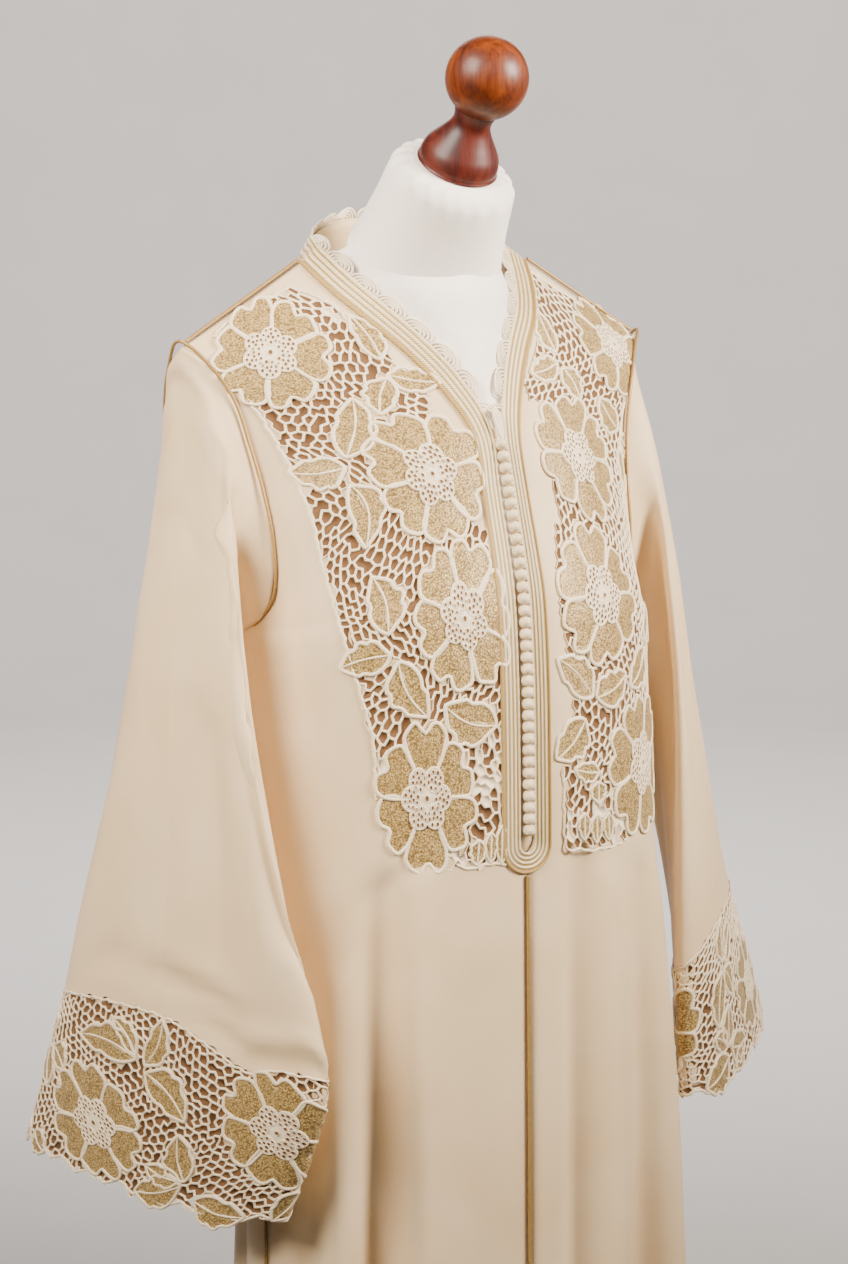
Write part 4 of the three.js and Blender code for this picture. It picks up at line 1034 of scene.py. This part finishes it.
cuffPiece(
    "laceRightCuff", "cuff_lace_right", cuffField(rightSleeve, -1), 31,
    flowers=[
        (250, 108, 58, 41, 0.2), (424, 76, 50, 43, 0.5), (96, 104, 50, 42, 0.1), (540, 112, 48, 41, 0.4)],
    leaves=[
        (281, 48, 205, 42, 22, 0.06), (290, 52, 304, 12, 20, 0.1), (280, 46, 244, 22, 14, 0.08),
        (292, 56, 344, 86, 24, 0.08), (358, 134, 339, 96, 24, 0.08), (356, 137, 310, 152, 24, -0.08),
        (370, 146, 420, 152, 22, 0.08), (354, 134, 314, 128, 15, 0.06), (452, 126, 440, 154, 20, 0.1),
        (456, 128, 500, 146, 22, 0.1), (484, 60, 520, 30, 22, 0.1), (484, 66, 486, 106, 20, 0.08),
        (160, 56, 134, 22, 20, 0.1), (162, 60, 176, 96, 22, 0.08), (168, 60, 196, 78, 18, 0.08),
        (30, 60, 12, 24, 20, 0.1), (30, 66, 62, 48, 20, 0.08), (28, 72, 20, 118, 22, 0.08),
        (164, 140, 140, 152, 20, 0.06), (172, 138, 196, 152, 18, 0.08), (566, 52, 588, 26, 20, 0.1),
        (562, 54, 540, 26, 20, 0.1)],
    topMarks=[
        (0, 20), (0.1, 15), (0.2, 12), (0.29, 13), (0.4, 11), (0.51, 12), (0.59, 24), (0.65, 35), (0.69, 28),
        (0.75, 26), (0.85, 18), (0.93, 17), (1, 20)],
    hemMarks=[
        (0, 150), (0.03, 145), (0.06, 151), (0.09, 146), (0.12, 154), (0.15, 154), (0.18, 146), (0.22, 145),
        (0.25, 152), (0.28, 146), (0.31, 145), (0.34, 152), (0.37, 147), (0.4, 154), (0.43, 149), (0.46, 154),
        (0.49, 148), (0.515, 155), (0.54, 149), (0.57, 157), (0.6, 151), (0.63, 156), (0.66, 150), (0.69, 156),
        (0.72, 149), (0.75, 155), (0.78, 148), (0.81, 154), (0.84, 147), (0.88, 155), (0.91, 154), (0.94, 147),
        (0.97, 151), (1, 150)])
cuffPiece(
    "laceLeftCuff", "cuff_lace_left", cuffField(leftSleeve, 1), 37,
    flowers=[
        (356, 78, 46, 41, 0.4), (196, 84, 44, 38, 0.1), (70, 92, 46, 41, 0.5)],
    leaves=[
        (268, 44, 262, 8, 20, 0.1), (262, 46, 236, 20, 20, 0.1), (272, 48, 284, 92, 22, 0.08),
        (266, 48, 250, 76, 18, 0.08), (266, 112, 262, 78, 20, 0.06), (262, 114, 226, 118, 22, 0.08),
        (268, 118, 306, 134, 26, 0.08), (270, 112, 292, 96, 16, 0.08), (250, 120, 236, 138, 18, 0.06),
        (130, 40, 108, 22, 20, 0.1), (132, 46, 148, 20, 20, 0.08), (134, 52, 136, 96, 22, 0.08),
        (132, 112, 112, 134, 20, 0.08), (138, 112, 166, 132, 20, 0.08), (14, 50, 30, 20, 20, 0.08),
        (12, 54, 18, 96, 20, 0.08), (416, 46, 402, 18, 20, 0.08), (418, 100, 400, 130, 20, 0.08)],
    topMarks=[
        (0, 22), (0.1, 18), (0.2, 14), (0.3, 12), (0.42, 10), (0.55, 8), (0.64, 10), (0.7, 16), (0.78, 24),
        (0.88, 25), (1, 22)],
    hemMarks=[
        (0, 134), (0.04, 130), (0.08, 137), (0.13, 137), (0.17, 130), (0.21, 137), (0.25, 131), (0.29, 137),
        (0.33, 130), (0.37, 138), (0.41, 132), (0.45, 137), (0.49, 131), (0.53, 138), (0.57, 132), (0.61, 139),
        (0.65, 133), (0.69, 139), (0.73, 132), (0.78, 138), (0.82, 130), (0.87, 136), (0.92, 130), (0.96, 135),
        (1, 134)])
print("cuff lace worked")


# ---- braid round the neck and slit, scallops, loops, knotted buttons and pipings
braidTrim = {"lift": 0.35, "ribs": 4, "cordFrom": 0.85, "width": 18, "ribRise": 0.75, "napeRows": 4 / 3,
             "napeLift": 1.9, "napeLastShare": 0.4, "napeSteps": 12, "napeEase": 1.2, "turnSteps": 14,
             "step": 5.0}


def rowNormal(surface, row, t):
    step = 0.02
    return unit(np.cross(surface(row, t + step) - surface(row, t), surface(row + step, t) - surface(row, t)))


def besideOpening(row, distance):
    return frontPoint(row, sharesAt(frontPoint, row, [distance])[0, 0])


def middleNormal(row):
    down = pointAt(frontMiddle, row + 0.05) - pointAt(frontMiddle, row - 0.05)
    return unit(np.array([0.0, down[2], -down[1]]))


def smoothedRing(values, passes):  # evens out the cross lines where two stretches meet
    for _ in range(passes):
        values = (np.roll(values, 1, axis=0) + 2 * values + np.roll(values, -1, axis=0)) / 4
    return values


# half the braid as cross lines of (inner, middle, outer), from the nape to the foot of the slit
seamLength = np.linalg.norm(frontPoint(0, 1) - shoulderPoint)
braidEnd = sharesAt(frontPoint, 0, [frontMiddle["braid"][0]])[0, 0]
seamEnd = 0.5 + 0.5 * (braidEnd - seamStart) / (1 - seamStart)
napeLines = []
for t in np.linspace(0, braidTrim["napeLastShare"], braidTrim["napeSteps"] + 1):
    angle = math.pi * t
    outerShare = seamEnd * math.sin(angle) ** braidTrim["napeEase"]
    outerRow = braidTrim["napeRows"] * math.cos(angle)
    spots = [(0, t), (outerRow / 2, (t + outerShare) / 2), (outerRow, outerShare)]
    normals = np.array([rowNormal(backPoint, row, share) for row, share in spots])
    normals[:, 0] *= t > 0
    normals = unit(normals)
    points = np.array([backPoint(row, share) for row, share in spots])
    napeLines.append((points + normals * (braidTrim["napeLift"] - braidTrim["lift"]), normals))
slitLines = []
slitRows = evenRows(frontMiddle, 0, slitRow, braidTrim["step"])
for row in slitRows:
    reach = columnAt(frontMiddle, "braid", row)
    shares = sharesAt(frontPoint, row, [slit["half"], (slit["half"] + reach) / 2, reach])[0]
    normals = [unit(np.cross(frontPoint(row + 0.05, share) - frontPoint(max(row - 0.05, 0), share),
                             frontPoint(row, share + 0.01) - frontPoint(row, share - 0.004)))
               for share in shares]
    slitLines.append((frontPoint(row, shares), np.array(normals)))
turnLines = []
bottomReach = float(columnAt(frontMiddle, "braid", slitRow))
for angle in np.linspace(0, math.pi / 2, braidTrim["turnSteps"] + 1)[1:]:
    points = []
    for radius in (slit["half"], (slit["half"] + bottomReach) / 2, bottomReach):
        row = placeAtHeight(frontMiddle, slit["bottomZ"] - radius * math.sin(angle))
        points.append(besideOpening(row, max(radius * math.cos(angle), 0)))
    turnLines.append((np.array(points), np.tile(middleNormal(slitRow), (3, 1))))
turnLines[-1][0][:, 0] = 0
halfBraid = napeLines + slitLines + turnLines
mirrorLine = lambda line: (line[0] * [-1, 1, 1], line[1] * [-1, 1, 1])
braidRing = halfBraid + [mirrorLine(line) for line in halfBraid[-2:0:-1]]
ringPoints = smoothedRing(np.array([line[0] for line in braidRing]), 1)
ringNormals = unit(smoothedRing(np.array([line[1] for line in braidRing]), 6))


def onBraid(line, across):  # line runs round the ring, across from 0 (inner edge) to 1 (outer edge)
    line, a = line % len(ringPoints), across[..., None]
    weights = (2 * (a - 0.5) * (a - 1), 4 * a * (1 - a), 2 * a * (a - 0.5))
    return (sum(w * ringPoints[line, c] for c, w in enumerate(weights)),
            unit(sum(w * ringNormals[line, c] for c, w in enumerate(weights))))


def braidSection():  # across share, height in mm and material of the face that follows
    section = [(0.0, 0.4, 0), (0.0, 1.4, 0)]
    cordFrom = braidTrim["cordFrom"]
    width = cordFrom / braidTrim["ribs"]
    bow = [(step / 6, math.sin(math.pi * step / 6) ** 0.6) for step in range(7)]
    for k in range(braidTrim["ribs"]):
        start = k * width
        section += [(start + width * (0.04 + 0.56 * f), 1.4 + braidTrim["ribRise"] * rise, 0)
                    for f, rise in bow]
        section += [(start + width * f, height, 1) for f, height in ((0.63, 1.1), (0.81, 1.8), (1, 1.1))]
    cordFrom += 0.012
    section += [(cordFrom + (1 - cordFrom) * f, 1.45 + 0.95 * rise, 1) for f, rise in bow]
    return section + [(1.0, 0.9, 1), (1.0, 0.4, 1), (0.5, 0.35, 0), section[0]]


section = np.array(braidSection())
bm = bmesh.new()
count, columns = len(ringPoints), len(section) - 1
verts, places = gridCells(bm, columns, count)
column = np.rint(places[:, 0] * columns).astype(int)
points, normals = onBraid(np.rint(places[:, 1] * count).astype(int), section[column, 0])
moveVerts(verts, toMetres(points + normals * section[column, 1:2]))
layer = bm.loops.layers.uv.verify()
for face in bm.faces:
    first = min(loop[layer].uv[0] for loop in face.loops)
    face.material_index = int(section[min(int(first * columns + 0.5), columns - 1), 2])
    for loop in face.loops:
        at = int(loop[layer].uv[0] * columns + 0.5)
        loop[layer].uv = (section[at, 0] * braidTrim["width"], loop[layer].uv[1] * count * braidTrim["step"])
bmesh.ops.remove_doubles(bm, verts=bm.verts, dist=0.01 * mm)
bmesh.ops.recalc_face_normals(bm, faces=bm.faces)
newPiece("neckBraid", bm, [creamTwill, goldTwill], "braid", "braid")


plyShape = {"core": 0.74, "swell": 0.32}


def tube(bm, path, radius, sides=8, step=None, plies=0, pitch=4.0):
    # a cord along a line of points in mm; plies twist round each other with the given pitch
    path = np.asarray(path, float)
    if step:
        fine = throughMarks(path, np.linspace(0, len(path) - 1, 40 * len(path)))
        length = lengthsAlong(fine)[-1]
        path = pointsAfter(fine, np.linspace(0, length, max(3, int(round(length / step)) + 1)))
    along = unit(np.gradient(path, axis=0))
    guide = np.array([0.31, 0.87, 0.39])
    first = unit(guide - along * (along @ guide)[:, None])
    second = np.cross(along, first)
    length = lengthsAlong(path)
    verts, places = gridCells(bm, sides, len(path) - 1)
    at = np.rint(places[:, 1] * (len(path) - 1)).astype(int)
    angle = places[:, 0] * 2 * np.pi
    wide = np.full(len(angle), float(radius))
    if plies:
        ply = np.abs(np.cos(plies / 2 * (angle - 2 * np.pi * length[at] / pitch)))
        wide *= plyShape["core"] + plyShape["swell"] * ply
    cosine, sine = (np.cos(angle) * wide)[:, None], (np.sin(angle) * wide)[:, None]
    moveVerts(verts, toMetres(path[at] + first[at] * cosine + second[at] * sine))
    bmesh.ops.remove_doubles(bm, verts=verts, dist=0.001 * mm)
    ends = [edge for vert in verts if vert.is_valid for edge in vert.link_edges if edge.is_boundary]
    bmesh.ops.holes_fill(bm, edges=list(set(ends)), sides=0)


# scallops stand inward from the braid's inner edge, each of four nested cords
scallopTrim = {"pitch": 26.0, "rise": 8.0, "cords": 4, "radius": 0.98, "lastRow": 4.5, "foot": 0.16}
neckHalf = napeLines + [line for line, row in zip(slitLines, slitRows) if row <= scallopTrim["lastRow"]]
neckLines = [mirrorLine(line) for line in neckHalf[:0:-1]] + neckHalf
edgePoints = np.array([line[0][0] for line in neckLines])
edgeInward = unit(np.array([line[0][0] - line[0][1] for line in neckLines]))
edgeFacing = unit(smoothedRing(np.array([line[1][0] for line in neckLines]), 2))
edgeLength = lengthsAlong(edgePoints)


def atEdge(distance, values):
    return np.stack([np.interp(distance, edgeLength, column) for column in values.T], axis=-1)


bm = bmesh.new()
scallops = int(round(edgeLength[-1] / scallopTrim["pitch"]))
span = edgeLength[-1] / scallops
turns = np.linspace(0, np.pi, 15)
for k in range(scallops):
    for c in range(scallopTrim["cords"]):
        size = 1 - c / scallopTrim["cords"]
        walk = (k + 0.5) * span - np.cos(turns) * (span / 2 - scallopTrim["radius"]) * size
        rise = scallopTrim["foot"] + np.sin(turns) ** 0.8 * scallopTrim["rise"] * size
        inward, facing = unit(atEdge(walk, edgeInward)), unit(atEdge(walk, edgeFacing))
        lift = 0.9 + 0.25 * np.sin(turns)
        path = atEdge(walk, edgePoints) + inward * rise[:, None] + facing * lift[:, None]
        tube(bm, path, scallopTrim["radius"], sides=7)
newPiece("scallopCords", bm, [creamCord], "scallop", "scallop_trim")

# knotted ball buttons down the slit, their loops, and the bud and loops where the neck closes
buttonRow = {"count": 34, "firstZ": 1353.0, "pitch": 8.25, "radius": 4.0, "lift": 0.35, "turn": 0.7,
             "leads": 2.5, "slants": (3, -3), "core": 0.90, "knot": 0.085, "loopRadius": 0.7,
             "loop": [(6.4, 2.3, 1.4), (4.4, 3.0, 2.5), (1.2, 2.2, 3.4), (-2.2, 1.6, 2.6), (-3.3, 1.3, 0),
                      (-2.2, 1.6, -2.6), (1.2, 2.2, -3.4), (4.4, 3.0, -2.5), (6.4, 2.3, -1.4)]}


def bySlit(height, spots):  # spots given across, outward and upward from the middle line at a height
    row = placeAtHeight(frontMiddle, height)
    across, outward = np.array([1.0, 0, 0]), middleNormal(row)
    return pointAt(frontMiddle, row) + np.array(spots) @ np.array([across, outward, np.cross(outward, across)])


buttonHeights = [buttonRow["firstZ"] - k * buttonRow["pitch"] for k in range(buttonRow["count"])]
bm = bmesh.new()
for k, height in enumerate(buttonHeights):
    made = bmesh.ops.create_uvsphere(bm, u_segments=20, v_segments=12, radius=1)["verts"]
    turn = buttonRow["turn"] * k
    for vert in made:
        theta, phi = math.acos(max(-1, min(1, vert.co.z))), math.atan2(vert.co.y, vert.co.x)
        knot = sum(abs(math.sin(buttonRow["leads"] * phi + slant * theta + turn)) ** 0.6
                   for slant in buttonRow["slants"])
        knot *= math.sin(theta) ** 0.5
        vert.co *= buttonRow["radius"] * (buttonRow["core"] + buttonRow["knot"] * knot)
    stand = np.array([0, buttonRow["radius"] + buttonRow["lift"], 0])
    moveVerts(made, toMetres(bySlit(height, np.array([vert.co for vert in made]) + stand)))
bmesh.ops.recalc_face_normals(bm, faces=bm.faces)
buttonNodes = ["button_%02d" % (k + 1) for k in range(buttonRow["count"])]
newPiece("knottedButtons", bm, [buttonThreadPaintedShade], "button", *buttonNodes)

bm = bmesh.new()
for height in buttonHeights:
    tube(bm, bySlit(height, buttonRow["loop"]), buttonRow["loopRadius"], sides=6, step=1.6)
newPiece("buttonLoops", bm, [creamCord], "scallop")

neckClosing = {"budRadius": 1.25, "loopRadius": 0.85, "threadRadius": 0.8, "loopReach": 15}
bm = bmesh.new()
for shift in (-2.1, 0.0, 2.1):  # a bud of three threads above the first knot
    spots = [(0.2, 4.5, 3.5), (shift * 0.6 - 0.5, 5.0, 8), (shift - 1.2, 5.2, 14), (shift - 1.9, 5.0, 20),
             (shift * 0.5 - 2.6, 4.2, 25.5)]
    tube(bm, bySlit(buttonRow["firstZ"], spots), neckClosing["budRadius"], step=1.4)


def edgeSpot(side, row, inward, lift):  # a place beside the braid's inner edge
    return besideOpening(row, slit["half"] - inward) * [side, 1, 1] + middleNormal(row) * lift


start, end = edgeSpot(-1, 4.55, 0, 1.2), edgeSpot(-1, 5.35, 0, 1.4)
outward = np.array([1.0, 0.1, 0.12]) * neckClosing["loopReach"]
turns = np.linspace(0, np.pi, 17)[:, None]
for size in (1.0, 0.86, 0.72):  # the large near loop of three threads
    path = (start + end) / 2 - (end - start) / 2 * np.cos(turns) * size + outward * np.sin(turns) * size
    tube(bm, path, neckClosing["loopRadius"], sides=7)
start, end = edgeSpot(1, 4.62, 0, 1.2), edgeSpot(-1, 4.7, -2, 1.4)
turns = np.linspace(0, 1, 13)[:, None]
for drop in (0.0, 1.9):  # two threads across the opening
    path = start * (1 - turns) + end * turns + np.array([0, 0.6, 0.9]) * np.sin(turns * np.pi) * 3 - up * drop
    tube(bm, path, neckClosing["threadRadius"], sides=7)
newPiece("neckBudAndLoops", bm, [creamCord], "scallop")

buttonStand = {"topZ": 1366, "foot": 7.0, "groove": 5.0, "tuck": 2.0, "rows": 64}
standPoints = []
for height in np.linspace(buttonStand["topZ"], slit["bottomZ"] - buttonStand["foot"], buttonStand["rows"]):
    # the foot of the strip narrows and tucks in under the round end of the braid
    row = placeAtHeight(frontMiddle, height)
    below = np.clip((slit["bottomZ"] - height) / buttonStand["foot"], 0, 1)
    tucked = middleNormal(row) * buttonStand["tuck"] * min(3 * below, 1)
    edge = besideOpening(row, (slit["half"] - cloth["seamGap"]) * (1 - 0.6 * below ** 2)) - tucked
    middle = pointAt(frontMiddle, row) - tucked
    sunk = middleNormal(row) * buttonStand["groove"] * (1 - below)
    standPoints.append([edge * [-1, 1, 1] - sunk] + [
        middle + (edge - middle) * [-share, abs(share), abs(share)] - sunk * depth
        for share, depth in ((0.72, 1), (0.5, 0.5), (0, 0), (-0.5, 0), (-1, 0))])
clothPiece("buttonStandCloth", "button_stand", np.array(standPoints), "button_stand", -1)

# gold cord over the seams
piping = {"radius": 1.3, "lift": 0.35, "step": 1.0, "pitch": 4.2, "armholeEnd": 165, "armholeEase": 1.8,
          "rearEase": -0.8, "tipRise": 1.4, "shoulderEnd": 4.5, "sideRows": [8.8, 9.5, 10.5, *range(12, 19)],
          "belowBraid": 1.5}
pipingStand = piping["radius"] + piping["lift"]
seamFacing = unit(np.array([0.51, 0, 0.86]))
braidOnShoulder = float(frontMiddle["braid"][0]) - slit["half"]
armholeTip = pointAt(armholeFront, 0)


def pipingPiece(place, word, path):
    bm = bmesh.new()
    tube(bm, path, piping["radius"], sides=9, step=piping["step"], plies=2, pitch=piping["pitch"])
    node = "_".join([place, "piping"] + ([word.lower()] if word else []))
    newPiece(place + "Piping" + word, bm, [goldCord], "piping", node)


for word, side in (("Right", -1), ("Left", 1)):
    spots = np.array([braidOnShoulder + 1, seamLength / 2, seamLength - piping["shoulderEnd"]])[:, None]
    path = shoulderPoint + (armholeTip - shoulderPoint) * spots / seamLength + seamFacing * pipingStand
    pipingPiece("shoulder", word, path * [side, 1, 1])
    angles = np.radians(piping["armholeEnd"] * np.linspace(-1, 1, 15))
    ease = np.where(angles < -0.2, piping["rearEase"], piping["armholeEase"])
    stand = pipingStand + ease + np.where(np.abs(angles) < 1e-6, piping["tipRise"], 0)
    path = armholePoint(angles) + armholeNormal(angles) * stand[:, None]
    pipingPiece("armhole", word, path * [side, 1, 1])
    path = pointAt(frontSide, np.array(piping["sideRows"])) + [pipingStand, 0, 0]
    pipingPiece("side", word, path * [side, 1, 1])
centreStart = placeAtHeight(frontMiddle, slit["bottomZ"] - bottomReach - piping["belowBraid"])
pipingPiece("centre", "", np.array([pointAt(frontMiddle, row) + middleNormal(min(row, hem - 0.05)) * pipingStand
                                    for row in (centreStart, *range(12, hem + 1))]))
print("braid, buttons and pipings made")


# ---- dress form, knob and stand: jersey pulled over padding, turned and varnished wood
def spun(profile, segments, joined=0.02):  # a profile of (radius, height) in mm, spun a full turn
    bm = bmesh.new()
    line = [bm.verts.new((radius * mm, 0, height * mm)) for radius, height in profile]
    edges = [bm.edges.new(pair) for pair in zip(line, line[1:])]
    bmesh.ops.spin(bm, geom=line + edges, cent=(0, 0, 0), axis=(0, 0, 1), angle=2 * math.pi, steps=segments,
                   use_merge=True)
    bmesh.ops.remove_doubles(bm, verts=bm.verts, dist=joined * mm)
    bmesh.ops.recalc_face_normals(bm, faces=bm.faces)
    return bm


def turnedPiece(name, bm, material, slot, place, *nodes):
    bmesh.ops.transform(bm, matrix=place, verts=bm.verts)
    newPiece(name, bm, [material], slot, *nodes)


def rounded(marks, perSpan=5):  # a smooth curve of (radius, height) through the turner's marks
    curve = throughMarks(marks, np.linspace(0, len(marks) - 1, (len(marks) - 1) * perSpan + 1))
    return np.maximum(curve, [0, -np.inf])


formSections = named("z halfWidth sideY frontY backY pointed column", [
    (872, 146, -56, -138, 36, 0.90, 60),
    (960, 142, -52, -134, 40, 0.90, 60),
    (1050, 122, -44, -122, 46, 0.94, 60),
    (1120, 120, -40, -126, 50, 0.94, 60),
    (1200, 134, -34, -138, 56, 0.94, 60),
    (1260, 140, -28, -138, 62, 0.98, 70),
    (1310, 138, -24, -126, 66, 1.06, 80),
    (1350, 142, -20, -115, 66, 1.20, 88),
    (1388, 152, -16, -103, 60, 1.60, 90),
    (1416, 164, -13, -94, 50, 2.20, 86),
    (1439.4, 164, -11.2, -88, 40, 3.00, 78),
    (1459.6, 130, -9.4, -84, 32, 3.00, 68),
    (1479.3, 95, -8.4, -74, 26, 2.70, 60),
    (1492, 58, -14, -68, 18, 1.80, 54),
])
dressForm = {
    "around": 112, "down": 120, "smoothing": 14, "chestZ": 1340, "openNeckZ": 1350, "openNeckY": -20,
    "clearance": 6, "clearanceFall": 0.8, "lean": 33, "neckTop": (0, -67, 1550),
    "gathers": 19, "gatherDepth": 0.04, "gatherZ": -4, "gatherReach": 7,
    "neck": [(57, -98), (58, -86), (57.6, -81), (56, -79.5), (57.2, -77.5), (56.6, -74), (54, -62), (50, -38),
             (47.5, -16), (45.5, -9), (41, -3.5), (35, -0.8), (29.5, 0), (0, 0)],
    "foot": [(0, 0), (27.5, 0), (29, 3), (28.8, 8), (27, 14), (23.2, 20), (18.4, 27), (14.8, 33.5), (14.0, 39),
             (15.9, 46.7)],
    "ballRadius": 29.8, "ballCentre": 72, "gap": 0.3,
    "base": [(0, 0), (147, 0), (149, 1), (150, 4), (148.5, 9), (146, 13), (136, 16), (120, 19), (40, 24),
             (36, 27), (34, 30), (0, 30)],
    "pole": [(0, 30.3), (14, 30.3), (14, 42), (12.5, 44), (12.5, 855.7), (14, 857.7), (14, 871.7), (0, 871.7)],
}


def formPoint(place, angle):
    # a padded section: shoulders reach sideways, and a rounder column runs up the middle to the neck
    value = lambda name: columnAt(formSections, name, place)
    cosine, sine = np.cos(angle), np.sin(angle)
    deep = np.abs(np.where(cosine > 0, value("frontY"), value("backY")) - value("sideY"))

    def reach(wide, power):
        return (np.abs(sine / wide) ** (2 / power) + np.abs(cosine / deep) ** (2 / power)) ** (-power / 2)

    radius = (reach(value("halfWidth"), value("pointed")) ** 8 + reach(value("column"), 1.0) ** 8) ** 0.125
    return np.stack([radius * sine, value("sideY") - radius * cosine, value("z") + 0 * angle], axis=-1)


def underCloth(points):
    # the padding stays behind the fronts, and swells only a little in the open neck
    chest = frontHalf[frontHeights > dressForm["chestZ"]].reshape(-1, 3)
    moved = points.copy()
    for k in np.nonzero((points[:, 2] > dressForm["openNeckZ"]) & (points[:, 1] < dressForm["openNeckY"]))[0]:
        off = np.hypot(chest[:, 0] - abs(points[k, 0]), chest[:, 2] - points[k, 2])
        nearest = np.argsort(off)[:6]
        clothY = np.average(chest[nearest, 1], weights=1 / (off[nearest] + 3))
        slack = dressForm["clearance"] - dressForm["clearanceFall"] * off[nearest[0]]
        moved[k, 1] = max(points[k, 1], clothY + slack)
    return moved


bm = bmesh.new()
verts, places = gridCells(bm, dressForm["around"], dressForm["down"])
spread = (1 - places[:, 1]) * (len(formSections["z"]) - 1)
moveVerts(verts, toMetres(underCloth(formPoint(spread, places[:, 0] * 2 * np.pi))))
bmesh.ops.remove_doubles(bm, verts=bm.verts, dist=0.02 * mm)
for _ in range(dressForm["smoothing"]):
    chest = [vert for vert in bm.verts
             if vert.co.z > dressForm["chestZ"] * mm and vert.co.y < 0 and not vert.is_boundary]
    bmesh.ops.smooth_vert(bm, verts=chest, factor=0.5, use_axis_x=True, use_axis_y=True, use_axis_z=True)
bmesh.ops.holes_fill(bm, edges=[edge for edge in bm.edges if edge.is_boundary], sides=0)
bmesh.ops.recalc_face_normals(bm, faces=bm.faces)
newPiece("jerseyFormBody", bm, [jersey], "jersey", "form_body")

leaning = (Matrix.Translation(toMetres(dressForm["neckTop"]))
           @ Matrix.Rotation(math.radians(dressForm["lean"]), 4, "X"))
bm = spun(rounded(dressForm["neck"]), 112)
for vert in bm.verts:  # the jersey is drawn in under the knob in small uneven pleats
    angle = math.atan2(vert.co.y, vert.co.x)
    drawn = math.exp(-((vert.co.z / mm - dressForm["gatherZ"]) / dressForm["gatherReach"]) ** 2)
    wave = math.sin(angle * dressForm["gathers"] + 1.4 * math.sin(angle * 3)) * drawn
    vert.co.xy *= 1 + dressForm["gatherDepth"] * wave
turnedPiece("jerseyFormNeck", bm, jersey, "jersey", leaning)
knobLift = leaning @ Matrix.Translation((0, 0, dressForm["gap"] * mm))
turnedPiece("turnedKnobFoot", spun(rounded(dressForm["foot"]), 64), footWood, "knob_wood", knobLift)
radius, centre = dressForm["ballRadius"], dressForm["ballCentre"]
ballStart = math.asin(dressForm["foot"][-1][0] / radius)
ballProfile = [(radius * math.sin(a), centre - radius * math.cos(a)) for a in np.linspace(ballStart, np.pi, 40)]
turnedPiece("turnedKnobBall", spun([(0, ballProfile[0][1])] + ballProfile, 64), knobWood, "knob_wood", knobLift,
            "finial_knob")
turnedPiece("turnedStandBase", spun(dressForm["base"], 96), standWood, "stand_wood", Matrix(), "stand_base")
turnedPiece("turnedStandPole", spun(dressForm["pole"], 40), standWood, "stand_wood", Matrix(), "stand_pole")
print("dress form and stand made")


# ---- floor, light and camera
studio = {"radius": 9000, "wall": 3400, "corner": 2200, "grey": "C6C1BD", "air": 0.2, "lens": 87.12,
          "distance": 2300, "azimuth": -32, "pitch": 8, "aim": 12, "aimHeight": 1204}
radius, corner = studio["radius"], studio["corner"]
bend = [(radius - corner + corner * math.sin(a), corner * (1 - math.cos(a)))
        for a in np.linspace(0, np.pi / 2, 12)]
bm = spun([(0, 0)] + bend + [(radius, studio["wall"])], 96, 1)
bmesh.ops.reverse_faces(bm, faces=bm.faces)
newObject("backdrop", bm, [backdropPaper])

world = bpy.data.worlds.new("studioAir")
bpy.context.scene.world = world
world.use_nodes = True
air = world.node_tree.nodes["Background"].inputs
air["Color"].default_value = linear(studio["grey"])
air["Strength"].default_value = studio["air"]

softBoxes = [  # name, place, aim, size in metres, spread in degrees, watts, colour
    ("leftSoftBox", (-1.6, -0.35, 2.5), (-0.1, 0, 1.55), 1.2, 62, 21, "FFF4E8"),
    ("rightSoftBox", (1.3, -1.5, 2.25), (0, 0, 1.6), 0.9, 56, 23, "FFF4E8"),
    ("frontSoftBox", (-0.9, -2.0, 2.7), (0, 0, 1.5), 1.4, 80, 3.2, "FFFAF4"),
    ("rearSoftBox", (1.3, 2.3, 2.5), (0, 0, 1.3), 1.6, 180, 30, "FFF8F0"),
    ("backdropSoftBox", (1.9, 3.0, 4.0), (4.8, 7.6, 0.9), 4.0, 180, 590, "FFFCFA"),
]
for name, place, aim, size, spread, watts, colour in softBoxes:
    light = bpy.data.lights.new(name, "AREA")
    light.shape = "SQUARE"
    light.size = size
    light.spread = math.radians(spread)
    light.energy = watts
    light.color = linear(colour)[:3]
    lamp = bpy.data.objects.new(name, light)
    lamp.location = place
    lamp.rotation_euler = (Vector(aim) - Vector(place)).to_track_quat("-Z", "Y").to_euler()
    bpy.context.collection.objects.link(lamp)

azimuth, pitch = math.radians(studio["azimuth"]), math.radians(studio["pitch"])
right = np.array([math.cos(azimuth), math.sin(azimuth), 0.0])
toward = np.array([math.sin(azimuth), -math.cos(azimuth), 0.0])
back = toward * math.cos(pitch) + up * math.sin(pitch)
aimPoint = right * studio["aim"] + up * studio["aimHeight"]
lens = bpy.data.cameras.new("portraitLens")
lens.lens = studio["lens"]
lens.clip_end = 60
camera = bpy.data.objects.new("studioCamera", lens)
camera.location = toMetres(aimPoint + back * studio["distance"])
camera.rotation_euler = Vector(-back).to_track_quat("-Z", "Y").to_euler()
bpy.context.collection.objects.link(camera)
bpy.context.scene.camera = camera
print("studio set")
